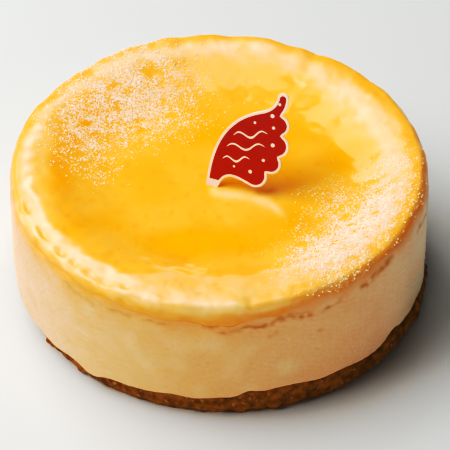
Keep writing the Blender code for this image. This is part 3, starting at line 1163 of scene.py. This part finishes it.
        # Thin glaze towards the rim, and painted reflection where it starts further in.
        thin_and_reflection = smooth_step(0, 1, (out - np.interp(degrees, at, start)) / np.interp(degrees, at, fade))
        x, y = upper[..., 0] / MM, upper[..., 1] / MM
        deep_and_shadow = sum(
            weight * bell(x, at_x, wide) * bell(y, at_y, long)
            for at_x, at_y, wide, long, weight in self.deep_pools_and_pick_shadow
        )
        # The ridge by the pick is a painted highlight. One of the deep pools is a painted shadow of the pick.
        pale = np.clip(0.8 + 0.3 * unevenness(upper, 22, 83) - deep_and_shadow, 0, 1) + self.form.pick_ridge(upper)
        blots = patchy(upper, 14, 82, -0.6, 1) + 1.6 * patchy(upper, 4.5, 85, -1.1, 1)
        baked = bands(out, angle, self.baked_bands) + 0.25 * blots * (along < 1.9)
        gathered = self.gathered(out, along, angle, upper)
        # Pale crest, and painted highlights, painted reflections and painted light.
        pale_crest_and_painted_light = self.pale_crest_and_painted_light(out, along, angle, upper)
        share, most = self.veil
        dust = np.clip(sugar_density(upper) * share, 0, most)
        marks = {"pale": pale, "thin_and_reflection": thin_and_reflection, "gathered": gathered, "baked": baked, "pale_crest_and_painted_light": pale_crest_and_painted_light}
        paint(mesh, {**marks, "dust": dust})

    def front(self, angle: Array) -> Array:
        """How near each angle is to the front, from 0 to 1: a swell of it."""
        return swell(angle, 268, 32)

    def gathered(self, out: Array, along: Array, angle: Array, upper: Array) -> Array:
        """How much the glaze gathers: down the shoulder, along its edge, and past the crest.

        It rises down the shoulder, a little less in front. The edge is a bell 1.4 mm wide. At the
        left, the back and the right it also rises over 3 to 4 mm of radius at the crest.

        Args:
            out: Radii in mm, with unevenness.
            along: Places on the outline.
            angle: Angles in radians.
            upper: The points there.

        Returns:
            The share that has gathered.
        """
        front = self.front(angle)
        down = along + 0.06 * unevenness(upper, 8, 84) - 0.05 * front
        gathered = (1 - 0.3 * front) * smooth_step(2.45, 2.75, down)
        gathered = gathered + 0.5 * bell(self.form.within_edge(along, angle), 0, 1.4)
        left_and_back = 0.6 * self.form.left_ridges(angle) + swell(angle, 95, 35)
        gathered = gathered + left_and_back * smooth_step(68.8, 71.6, out)
        from_right = np.abs(np.degrees(np.angle(np.exp(1j * (angle - math.radians(45))))))
        return gathered + 0.85 * (1 - smooth_step(100, 140, from_right)) * smooth_step(65.5, 69.5, out)

    def pale_crest_and_painted_light(self, out: Array, along: Array, angle: Array, upper: Array) -> Array:
        """How much pale cream the rim and the slopes get: partly a pale crest, mostly painted highlight,
        painted reflection and painted light.

        It is paler on the two ridges of the left rim and on the walls between its dimples, but not
        in them, as a pale crest with painted highlights. Along bands at the back and the right it is
        painted reflection, and along one at the left it is painted light on the shaded wall. On the ridge by
        the pick it is a painted highlight, and on the shoulder's lip in front it is painted light.

        Args:
            out: Radii in mm, with unevenness.
            along: Places on the outline.
            angle: Angles in radians.
            upper: The points there.

        Returns:
            The share of the pale cream shade.
        """
        degrees, left = in_degrees(angle), self.form.left_ridges(angle)
        # Pale crest and painted highlights on the left rim's two ridges.
        ridges = bell(out, 67.2, 1.8) + 0.6 * smooth_step(194, 202, degrees) * bell(out, 73.4, 0.8)
        pale_crest_and_painted_light = ridges * left * (0.78 + 0.25 * unevenness(upper, 5, 86))
        # Painted reflections of the lights at the back and the right, broken up, and painted light on the
        # shaded left inner wall.
        back = 0.75 * bell(out, 66, 3.2) * between(degrees, (50, 75), (125, 155))
        back_and_right_reflection = back + bands(out, angle, [self.right_painted_reflection])
        pale_crest_and_painted_light = pale_crest_and_painted_light + back_and_right_reflection * patchy(upper, 9, 87, 0.8, 0.5) + bands(out, angle, [self.left_painted_light])
        # Painted highlight along the ridge by the pick.
        pale_crest_and_painted_light = pale_crest_and_painted_light + 0.6 * self.form.pick_ridge(upper)
        pits = self.form.dimple_depth(np.hypot(upper[..., 0], upper[..., 1]), angle)
        # Painted highlight on the walls between the dimples, and none in them.
        walls = bell(out, 71, 2.2) * (1 - smooth_step(0.03, 0.25, pits)) * smooth_step(190, 205, degrees)
        pale_crest_and_painted_light = pale_crest_and_painted_light + 0.6 * walls * left - 2 * pits
        # Painted light on the front shoulder's lip, which turns away from the lights.
        lip = bell(along, 2.2, 0.24) * patchy(upper, 7, 88, 0.7, 0.5)
        return pale_crest_and_painted_light + 0.8 * self.front(angle) * lip


class Grain(Enum):
    """The plain solids that grains are made from: corners on a unit ball, and three-cornered faces."""

    EIGHT_SIDED = (
        ((1, 0, 0), (-1, 0, 0), (0, 1, 0), (0, -1, 0), (0, 0, 1), (0, 0, -1)),
        ((0, 2, 4), (2, 1, 4), (1, 3, 4), (3, 0, 4), (2, 0, 5), (1, 2, 5), (3, 1, 5), (0, 3, 5)),
    )
    TWENTY_SIDED = (
        (
            *((-0.526, 0.851, 0), (0.526, 0.851, 0), (-0.526, -0.851, 0), (0.526, -0.851, 0)),
            *((0, -0.526, 0.851), (0, 0.526, 0.851), (0, -0.526, -0.851), (0, 0.526, -0.851)),
            *((0.851, 0, -0.526), (0.851, 0, 0.526), (-0.851, 0, -0.526), (-0.851, 0, 0.526)),
        ),
        (
            *((0, 11, 5), (0, 5, 1), (0, 1, 7), (0, 7, 10), (0, 10, 11)),
            *((1, 5, 9), (5, 11, 4), (11, 10, 2), (10, 7, 6), (7, 1, 8)),
            *((3, 9, 4), (3, 4, 2), (3, 2, 6), (3, 6, 8), (3, 8, 9)),
            *((4, 9, 5), (2, 4, 11), (6, 2, 10), (8, 6, 7), (9, 8, 1)),
        ),
    )

    def heap(self, name: str, centres: Array, sizes: Array, flatness: float, seed: int) -> bpy.types.Mesh:
        """Many small lumps in one mesh: this solid each, pulled out of shape, turned and placed.

        Args:
            name: The mesh's name.
            centres: The lumps' centres.
            sizes: Their radii.
            flatness: The height of a lump over its width.
            seed: Seeds their shapes and turns.

        Returns:
            The mesh, flat shaded like broken grains.
        """
        rng = np.random.default_rng(seed)
        corners, faces = (np.array(part) for part in self.value)
        count, each = len(centres), len(corners)
        shapes = corners[None] * rng.uniform(0.7, 1.25, (count, each, 1))
        turns, _ = np.linalg.qr(rng.normal(size=(count, 3, 3)))
        turns *= np.sign(np.linalg.det(turns))[:, None, None]
        shapes = np.einsum("nij,nkj->nki", turns, shapes) * sizes[:, None, None]
        shapes[..., 2] *= flatness
        points = (shapes + centres[:, None]).reshape(-1, 3)
        rows = (faces[None] + each * np.arange(count)[:, None, None]).reshape(-1, 3)
        mesh = mesh_from_arrays(name, points, [rows])
        mesh.shade_flat()
        return mesh


@dataclass
class IcingSugar:
    """The sugar's specks: small clumps that lie where the patches are dense.

    Attributes:
        tries: How many specks fall on the whole top, before the patches choose among them.
        most: How many are kept at most.
        cover: How fast the chance of a speck grows with the density.
        median: The specks' median radius in mm, and sigma the spread of its logarithm.
        limits: The smallest and the largest radius in mm.
        margin: How far short of the glaze's edge they end, `along` the outline.
    """

    glaze: Glaze
    finish: SiftedSugar = field(default_factory=SiftedSugar)
    tries: int = 150000
    most: int = 24500
    cover: float = 0.72
    median: float = 0.25
    sigma: float = 0.3
    limits: tuple[float, float] = (0.12, 0.5)
    flatness: float = 0.8
    lift: float = 0.05 * MM
    margin: float = 0.05
    seed: int = 91

    def build(self) -> list[bpy.types.Object]:
        """Scatters the specks evenly over the top and keeps each by the density under it.

        Returns:
            The specks as one piece.
        """
        rng = np.random.default_rng(self.seed)
        form = self.glaze.form
        spread = np.sqrt(rng.uniform(0, 1, self.tries)) * form.radius
        angle = rng.uniform(-math.pi, math.pi, self.tries)
        along = self.along_of(spread, angle)
        points = self.glaze.outer(along, angle, self.lift)
        chance = 1 - np.exp(-self.cover * sugar_density(points))
        kept = (rng.uniform(0, 1, self.tries) < chance) & (along < form.glaze_edge(angle) - self.margin)
        centres = points[kept][: self.most]
        sizes = np.clip(rng.lognormal(math.log(self.median), self.sigma, len(centres)), *self.limits) * MM
        mesh = Grain.EIGHT_SIDED.heap("icing_sugar", centres, sizes, self.flatness, self.seed + 1)
        return [place_piece(mesh, self.finish.material())]

    def along_of(self, radius: Array, angle: Array) -> Array:
        """Finds the place on the outline that lies at each radius, by halving a fine table.

        Args:
            radius: Distances from the axis.
            angle: Angles in radians.

        Returns:
            Places on the outline.
        """
        table = np.linspace(0.01, 3, 300)
        low, high = np.full(radius.shape, 0), np.full(radius.shape, len(table) - 1)
        for _ in range(9):
            middle = (low + high) // 2
            there = self.glaze.form.point(table[middle], angle)
            short = np.hypot(there[..., 0], there[..., 1]) < radius
            low, high = np.where(short, middle, low), np.where(short, high, middle)
        return table[high]


@dataclass
class BiscuitBase:
    """The pressed biscuit layer, its wandering edge and its crumbs.

    Attributes:
        shift: How far the layer's outline lies to the right.
        strays: Lumps that stand out of the side: degrees, reach in mm, half width in degrees.
        crumb_radii: The smallest and the largest radius of a loose crumb in mm.
        crumb_depth: How far inside the side's surface a loose crumb's centre lies.
    """

    form: CakeForm
    finish: PressedBiscuit = field(default_factory=PressedBiscuit)
    radius: float = 74 * MM
    shift: float = 2.2 * MM
    foot_inset: float = 0.9 * MM
    top_rounding: float = 0.9 * MM
    crumb_relief: float = 0.3 * MM
    around: int = 1080
    side_rings: int = 46
    loose_crumbs: int = 420
    crumb_radii: tuple[float, float] = (0.25, 0.7)
    crumb_depth: float = 0.3 * MM
    strays: tuple[Triple, ...] = (
        *((214, 2.0, 1.3), (228, 1.1, 1.5), (286, 0.9, 1.6), (305, 1.0, 1.4), (340, 0.9, 1.6)),
        *((31, 1.3, 1.5), (88, 1.2, 1.5), (139, 1.4, 1.4), (171, 1.0, 1.6)),
    )

    def outline(self, share: Array) -> tuple[Array, Array]:
        """The layer's outline without crumbs, read between its named corners.

        Args:
            share: Place on the outline, from 0 on top at the outer ring to 1 at the foot.

        Returns:
            Radius and height of each place.
        """
        top, edge, rounding = self.form.biscuit_thickness, self.radius, self.top_rounding
        corners = np.array(
            [
                (edge - 2 * rounding, top),
                (edge - 0.8 * rounding, top - 0.15 * rounding),
                (edge, top - rounding),
                (edge, 0.6 * top),
                (edge, 0.4 * top),
                (edge - 0.2 * self.foot_inset, 0.2 * top),
                (edge - self.foot_inset, 0.0),
            ]
        )
        run = np.concatenate([[0], np.cumsum(np.hypot(*np.diff(corners, axis=0).T))])
        return tuple(np.interp(share * run[-1], run, column) for column in corners.T)

    def side(self, share: Array, angle: Array, lift: float = 0.0) -> Array:
        """The crumbly side: the outline, moved out by strays and by unevenness of 4 and 1.6 mm.

        It rises with the height where body and biscuit meet, and lies further right by the shift.

        Args:
            share: Place on the outline, from 0 to 1.
            angle: Angles in radians.
            lift: How far to move out.

        Returns:
            Points with x, y and z on the last axis.
        """
        radius, height = self.outline(share)
        thickness = self.form.biscuit_thickness
        raised = height / thickness * (self.form.meeting_height(self.form.radius, angle) - thickness)
        strays = swells(angle, self.strays) * bell(height / thickness, 0.35, 0.4)
        out = radius + self.shift * np.cos(angle) + strays
        points = round_points(out, angle, height + raised)
        coarse, fine = unevenness(points, 4, 101), unevenness(points, 1.6, 102)
        crumbs = self.crumb_relief * (0.75 * coarse + 0.3 * np.abs(fine) - 1.35)
        return points + round_points(crumbs * smooth_step(0, 0.12, share) + lift, angle, 0.0)

    def build(self) -> list[bpy.types.Object]:
        """Builds the layer and the small crumbs that cling to its side.

        Returns:
            The layer and its crumbs.
        """
        turn = np.linspace(-math.pi, math.pi, self.around, endpoint=False)
        share, angle = np.broadcast_arrays(np.linspace(0, 1, self.side_rings)[:, None], turn)
        side = self.side(share, angle)
        inner = self.form.meeting_rings((self.form.flat_within, self.form.uneven_from), turn)
        foot = side[-1:] * (1, 1, 0)
        rings = np.concatenate([inner, side[:-1], foot, foot * (0.6, 0.6, 1)])
        mesh = closed_rings("biscuit_base", rings, np.array([0, 0, self.form.biscuit_thickness]), np.zeros(3))
        finish = self.finish.material()
        base = place_piece(mesh, finish)
        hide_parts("base")
        return [base, self.build_crumbs(finish)]

    def build_crumbs(self, finish: bpy.types.Material) -> bpy.types.Object:
        """Scatters crumbs over the side, half sunk in it.

        Args:
            finish: The layer's own finish.

        Returns:
            The crumbs.
        """
        rng = np.random.default_rng(103)
        share = rng.uniform(0.1, 0.95, self.loose_crumbs)
        angle = rng.uniform(-math.pi, math.pi, self.loose_crumbs)
        sizes = rng.uniform(*self.crumb_radii, self.loose_crumbs) * MM
        centres = self.side(share, angle, -self.crumb_depth)
        centres[:, 2] = np.maximum(centres[:, 2], 1.3 * sizes)
        mesh = Grain.TWENTY_SIDED.heap("biscuit_crumbs", centres, sizes, 1.0, 104)
        return place_piece(mesh, finish)


def bezier(corners: Sequence[Sequence[float]], steps: int) -> Array:
    """Points of a cubic curve, (1-t)^3 A + 3t(1-t)^2 B + 3t^2(1-t) C + t^3 D, without the last.

    Args:
        corners: Its start A, its two pulls B and C, and its end D.
        steps: How many points.

    Returns:
        The points.
    """
    t = np.linspace(0, 1, steps, endpoint=False)[:, None]
    a, b, c, d = np.array(corners, float)
    return (1 - t) ** 3 * a + 3 * t * (1 - t) ** 2 * b + 3 * t**2 * (1 - t) * c + t**3 * d


def lobe(start: Sequence[float], end: Sequence[float], bulge: float, steps: int) -> Array:
    """Points of the arc from start to end that bulges to the left of it, without the last.

    Args:
        start: The arc's first point.
        end: Its last point.
        bulge: How far its middle stands out from the straight line.
        steps: How many points.

    Returns:
        The points.
    """
    a, b = np.array(start, float), np.array(end, float)
    chord = b - a
    half = np.hypot(*chord) / 2
    left = np.array([-chord[1], chord[0]]) / (2 * half)
    radius = (half**2 + bulge**2) / (2 * bulge)
    centre = (a + b) / 2 + left * (bulge - radius)
    sweep = 2 * math.asin(half / radius)
    if bulge > half:
        sweep = 2 * math.pi - sweep
    first = math.atan2(a[1] - centre[1], a[0] - centre[0])
    turns = first - sweep * np.linspace(0, 1, steps, endpoint=False)
    return centre + radius * np.stack([np.cos(turns), np.sin(turns)], axis=-1)


def outward(outline: Array) -> Array:
    """Unit normals of a clockwise outline, from its two neighbours' direction.

    Args:
        outline: Its points.

    Returns:
        The normal at each point.
    """
    ahead = np.roll(outline, -1, axis=0) - np.roll(outline, 1, axis=0)
    normals = np.stack([-ahead[:, 1], ahead[:, 0]], axis=-1)
    return normals / np.linalg.norm(normals, axis=1, keepdims=True)


def distance_to(outline: Array, points: Array) -> Array:
    """Distance from each point to the nearest side of a closed outline.

    Args:
        outline: Its corners.
        points: The points.

    Returns:
        The distances.
    """
    way = np.roll(outline, -1, axis=0) - outline
    rel = points[:, None] - outline[None]
    t = np.clip((rel * way).sum(-1) / np.maximum((way**2).sum(-1), 1e-12), 0, 1)
    return np.linalg.norm(rel - t[..., None] * way[None], axis=-1).min(axis=1)


@dataclass
class CardPick:
    """The scalloped card: a cream card with a red field and plain cream marks on both faces.

    Attributes:
        foot: Where it stands in the dish.
        stake_half_width: Half the stake's width at the surface in mm, stake_depth its depth, and
            stake_point half the width of its point.
        bevel: Width of the card's bevels in mm.
        border: Width of the cream border in mm.
        field_foot: Height in mm above which the red field starts.
        print_lift: How far the red field stands out in mm, and mark_lift how far the marks do.
        marks: Round marks on the red field: x, y and radius in mm.
        waves: Wavy strokes on the red field: their two ends and their wave's height in mm.
        stroke: Half the width of a stroke at its middle in mm, and stroke_end at its ends.
    """

    form: CakeForm
    card: PrintedCard = field(default_factory=lambda: PrintedCard("cream_card", "#FFE3CC"))
    ink: PrintedCard = field(default_factory=lambda: PrintedCard("red_ink", "#A62503"))
    foot: tuple[float, float] = (-2.3 * MM, -4.0 * MM)
    yaw: float = math.radians(-22)
    lean: float = math.radians(20)
    half_thickness: float = 0.3
    stake_half_width: float = 2.2
    stake_depth: float = 13.0
    stake_point: float = 0.5
    bevel: float = 0.09
    border: float = 0.95
    field_foot: float = 2.6
    print_lift: float = 0.03
    mark_lift: float = 0.05
    stroke: float = 0.38
    stroke_end: float = 0.02
    marks: tuple[Triple, ...] = (
        *((20.6, 36.4, 0.55), (18.6, 31.6, 0.75), (19.6, 27.4, 0.6), (20.2, 21.0, 0.75)),
        *((17.6, 14.6, 0.6), (13.4, 9.2, 0.7), (7.2, 9.6, 0.45), (12.6, 27.6, 0.5)),
    )
    waves: tuple[tuple[tuple[float, float], tuple[float, float], float], ...] = (
        ((5.4, 21.0), (17.8, 24.6), 1.1),
        ((3.4, 16.2), (17.6, 19.6), 1.1),
        ((2.6, 11.4), (12.6, 13.6), 0.9),
    )

    def outline(self) -> Array:
        """The card's outline in mm, clockwise from the stake's point, in the card's own plane.

        Curves run up the left edge to a small finger, lobes down the scalloped right edge, and a
        curve back along the lower edge to the stake.

        Returns:
            Its points.
        """
        neck, finger_left, finger_right = (13.5, 32.0), (19.4, 38.2), (23.6, 38.6)
        notches = [(22.0, 32.5), (23.2, 25.2), (23.2, 16.9), (19.4, 10.2), (13.2, 4.2)]
        left, right = ((side * self.stake_half_width, 0) for side in (-1, 1))
        point_left, point_right = ((side * self.stake_point, -self.stake_depth) for side in (-1, 1))
        scallops = zip(notches, notches[1:], (2.6, 2.9, 2.8, 3.0))
        return np.concatenate(
            [
                bezier((point_right, point_right, point_left, point_left), 2),
                bezier((point_left, point_left, left, left), 12),
                bezier((left, (-2.6, 16.0), (1.5, 26.5), neck), 48),
                bezier((neck, (16.6, 33.2), (18.9, 35.0), finger_left), 18),
                lobe(finger_left, finger_right, 2.3, 18),
                bezier((finger_right, (23.7, 36.6), (23.3, 34.2), notches[0]), 14),
                *(lobe(start, end, bulge, 20) for start, end, bulge in scallops),
                bezier((notches[-1], (8.5, 5.4), (4.0, 7.5), right), 30),
                bezier((right, right, point_right, point_right), 12),
            ]
        )

    def field_outline(self) -> Array:
        """The red field's outline: the card's above the surface, moved in by the border's width.

        Points that the move brings nearer to another side than the border are dropped.

        Returns:
            Its points.
        """
        outline = self.outline()
        moved = outline - outward(outline) * self.border
        clear = distance_to(outline, moved) > 0.985 * self.border
        return moved[clear & (moved[:, 1] > self.field_foot)]

    def piece(
        self, name: str, points: Array, faces: Sequence[Array], finish: PrintedCard
    ) -> bpy.types.Object:
        """Makes one flat-shaded piece of the pick, stood and leant in the dish.

        Args:
            name: The piece's name.
            points: Vertices in mm, x right and y up in the card's plane and z across it.
            faces: Faces, as mesh_from_arrays takes them.
            finish: Its card or ink.

        Returns:
            The piece.
        """
        upright = Matrix.Rotation(math.radians(90) - self.lean, 4, "X")
        standing = Matrix.Translation((*self.foot, self.form.dish_level)) @ Matrix.Rotation(self.yaw, 4, "Z")
        mesh = mesh_from_arrays(name, points.reshape(-1, 3) * MM, faces)
        mesh.shade_flat()
        mesh.transform(standing @ upright)
        return place_piece(mesh, finish.material())

    def plate(
        self, name: str, outline: Array, half: float, bevel: float, finish: PrintedCard
    ) -> bpy.types.Object:
        """A flat plate: the outline at four levels, with narrow bevels, closed by two flat faces.

        Args:
            name: The piece's name.
            outline: A clockwise outline in mm.
            half: Half its thickness in mm.
            bevel: Width of the bevels in mm.
            finish: Its card or ink.

        Returns:
            The piece.
        """
        inner = outline - outward(outline) * bevel
        levels = ((inner, -half), (outline, bevel - half), (outline, half - bevel), (inner, half))
        points = np.stack([np.insert(flat, 2, z, axis=-1) for flat, z in levels])
        here = np.arange(len(levels) * len(outline)).reshape(len(levels), -1)
        return self.piece(name, points, [ring_quads(here), here[:1], here[-1:, ::-1]], finish)

    def build(self) -> list[bpy.types.Object]:
        """Builds the card, its red field, its waves and its marks, printed on both faces.

        Returns:
            The four pieces.
        """
        half = self.half_thickness
        card = self.plate("pick_card", self.outline(), half, self.bevel, self.card)
        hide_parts("pick")
        red = self.plate("pick_print", self.field_outline(), half + self.print_lift, 0.02, self.ink)
        return [card, red, self.build_waves(), self.build_marks()]

    def on_both_faces(self, flat: Array) -> Array:
        """Flat shapes in mm, once just over the card's front and once just over its back."""
        level = self.half_thickness + self.mark_lift
        return np.concatenate([np.insert(flat, 2, z, axis=-1) for z in (level, -level)])

    def build_waves(self) -> bpy.types.Object:
        """Builds three wavy strokes that taper at both ends, as flat ribbons on both faces.

        A stroke follows a straight line with one and a half sine waves across it.

        Returns:
            The waves.
        """
        share = np.linspace(0, 1, 60)[:, None]
        half_width = self.stroke * np.sin(math.pi * share) ** 0.5 + self.stroke_end
        ribbons = []
        for start, end, height in self.waves:
            way = np.subtract(end, start)
            across = np.array([-way[1], way[0]]) / np.hypot(*way)
            middle = np.array(start) + share * way + height * np.sin(share * 3 * math.pi) * across
            ribbons.append(np.stack([middle + half_width * across, middle - half_width * across], axis=1))
        points = self.on_both_faces(np.stack(ribbons))
        here = np.arange(points.size // 3).reshape(points.shape[:3])
        quads = np.stack([here[:, :-1, 0], here[:, :-1, 1], here[:, 1:, 1], here[:, 1:, 0]], axis=-1)
        quads[len(self.waves) :] = quads[len(self.waves) :, :, ::-1]
        return self.piece("pick_waves", points, [quads.reshape(-1, 4)], self.card)

    def build_marks(self) -> bpy.types.Object:
        """Builds the marks as thin discs, one mesh for both faces.

        Returns:
            The marks.
        """
        turn = -np.linspace(0, 2 * math.pi, 32, endpoint=False)
        circle = np.stack([np.cos(turn), np.sin(turn)], axis=-1)
        marks = np.array(self.marks)[:, None]
        points = self.on_both_faces(marks[..., :2] + circle * marks[..., 2:])
        rows = np.arange(points.size // 3).reshape(points.shape[:2])
        rows[: len(marks)] = rows[: len(marks), ::-1]
        return self.piece("pick_marks", points, [rows], self.card)


@dataclass(frozen=True)
class Softbox:
    """A softbox that faces the cake: where it stands, its sides in metres and its power in watts."""

    name: str
    azimuth: float
    elevation: float
    distance: float
    width: float
    height: float
    power: float

    def build(self) -> None:
        """Builds the light. The camera sees what it lights, but not the box itself."""
        a, e = math.radians(self.azimuth), math.radians(self.elevation)
        light = bpy.data.lights.new(self.name, "AREA")
        light.shape = "RECTANGLE"
        light.size, light.size_y = self.width, self.height
        light.energy = self.power
        lamp = bpy.data.objects.new(self.name, light)
        way = Vector((math.cos(a) * math.cos(e), math.sin(a) * math.cos(e), math.sin(e)))
        lamp.location = way * self.distance
        lamp.rotation_mode = "QUATERNION"
        lamp.rotation_quaternion = way.to_track_quat("Z", "Y")
        lamp.visible_camera = False
        bpy.context.scene.collection.objects.link(lamp)


@dataclass
class Studio:
    """A pale floor, soft light from the back left, and the photograph's camera.

    Attributes:
        focal_lengths: The lens's length over the picture's width.
        target: The point that the camera looks at.
        tones: The tone curve's points: level seen, and level shown.
        softboxes: A key at the left, two from behind, a low one at the back and a card in front.
    """

    camera_distance: float = 0.9
    camera_elevation: float = math.radians(42)
    focal_lengths: float = 5.514
    target: Triple = (2.32 * MM, 0.0, 21.6 * MM)
    table_half: float = 2.5
    table_colour: str = "#D3D5D3"
    room_colour: str = "#F2F7FF"
    tones: tuple[Numbers, ...] = ((0.1, 0.045), (0.2, 0.165), (0.32, 0.39), (0.47, 0.57), (0.68, 0.75))
    softboxes: tuple[Softbox, ...] = (
        Softbox("key", 181, 54, 1.2, 0.95, 0.75, 13.5),
        Softbox("back_left", 127, 47, 1.2, 0.65, 0.65, 4.6),
        Softbox("top", 100, 80, 1.2, 0.5, 0.5, 2.4),
        Softbox("low_back", 90, 4, 2.2, 2.6, 0.3, 4.0),
        Softbox("front_card", 284, 10, 1.2, 1.5, 0.25, 2.6),
    )

    def build(self) -> None:
        """Builds the floor, the surroundings, the lights, the camera and the tones."""
        self.build_floor()
        self.build_surroundings()
        for softbox in self.softboxes:
            softbox.build()
        self.build_camera()
        self.set_tones()

    def set_tones(self) -> None:
        """Gives the picture a photograph's contrast: darker shadows and lighter middle tones."""
        view = bpy.context.scene.view_settings
        view.view_transform = "Standard"
        view.use_curve_mapping = True
        for seen, shown in self.tones:
            view.curve_mapping.curves[3].points.new(seen, shown)
        view.curve_mapping.update()

    def build_floor(self) -> None:
        """A plain pale tabletop: a level grid 5 m across."""
        edges = np.linspace(-self.table_half, self.table_half, 21)
        x, y = np.meshgrid(edges, edges)
        here = np.arange(x.size).reshape(x.shape)
        quads = np.stack([here[:-1, :-1], here[:-1, 1:], here[1:, 1:], here[1:, :-1]], axis=-1)
        points = np.stack([x, y, np.zeros_like(x)], axis=-1)
        mesh = mesh_from_arrays("floor", points.reshape(-1, 3), [quads.reshape(-1, 4)])
        mesh.materials.append(Coating("pale_table", self.table_colour, 0.55, 1.5).finished())
        floor = bpy.data.objects.new("floor", mesh)
        bpy.context.scene.collection.objects.link(floor)

    def build_surroundings(self) -> None:
        """A dim room: brighter at the horizon than above it."""
        world = bpy.data.worlds.new("studio")
        bpy.context.scene.world = world
        world.use_nodes = True
        tree = world.node_tree
        place = add_node(tree, "ShaderNodeTexCoord").outputs["Generated"]
        height = add_node(tree, "ShaderNodeSeparateXYZ", inputs={0: place}).outputs["Z"]
        limits = {"Value": height, "From Min": 0.3, "From Max": 0.55, "To Min": 0.12, "To Max": 0.02}
        level = add_node(tree, "ShaderNodeMapRange", {"interpolation_type": "SMOOTHSTEP"}, limits)
        sky = {"Strength": level.outputs[0], "Color": linear(self.room_colour)}
        feed(tree, tree.nodes["Background"].inputs, sky)

    def build_camera(self) -> None:
        """A long lens that looks down on the cake from the front."""
        lens = bpy.data.cameras.new("camera")
        lens.lens = self.focal_lengths * lens.sensor_width
        camera = bpy.data.objects.new("camera", lens)
        back = Vector((0, -math.cos(self.camera_elevation), math.sin(self.camera_elevation)))
        camera.location = Vector(self.target) + back * self.camera_distance
        camera.rotation_mode = "QUATERNION"
        camera.rotation_quaternion = back.to_track_quat("Z", "Y")
        bpy.context.scene.collection.objects.link(camera)
        bpy.context.scene.camera = camera


def main() -> None:
    """Builds the cake from the base up, reports its pieces, and builds the studio round it."""
    logging.basicConfig(level=logging.INFO)
    form = CakeForm()
    glaze = Glaze(form)
    for part in (BiscuitBase(form), CheeseBody(form), glaze, IcingSugar(glaze), CardPick(form)):
        for piece in part.build():
            log.info("%s: %d faces", piece.name, len(piece.data.polygons))
    Studio().build()


if __name__ == "__main__":
    main()
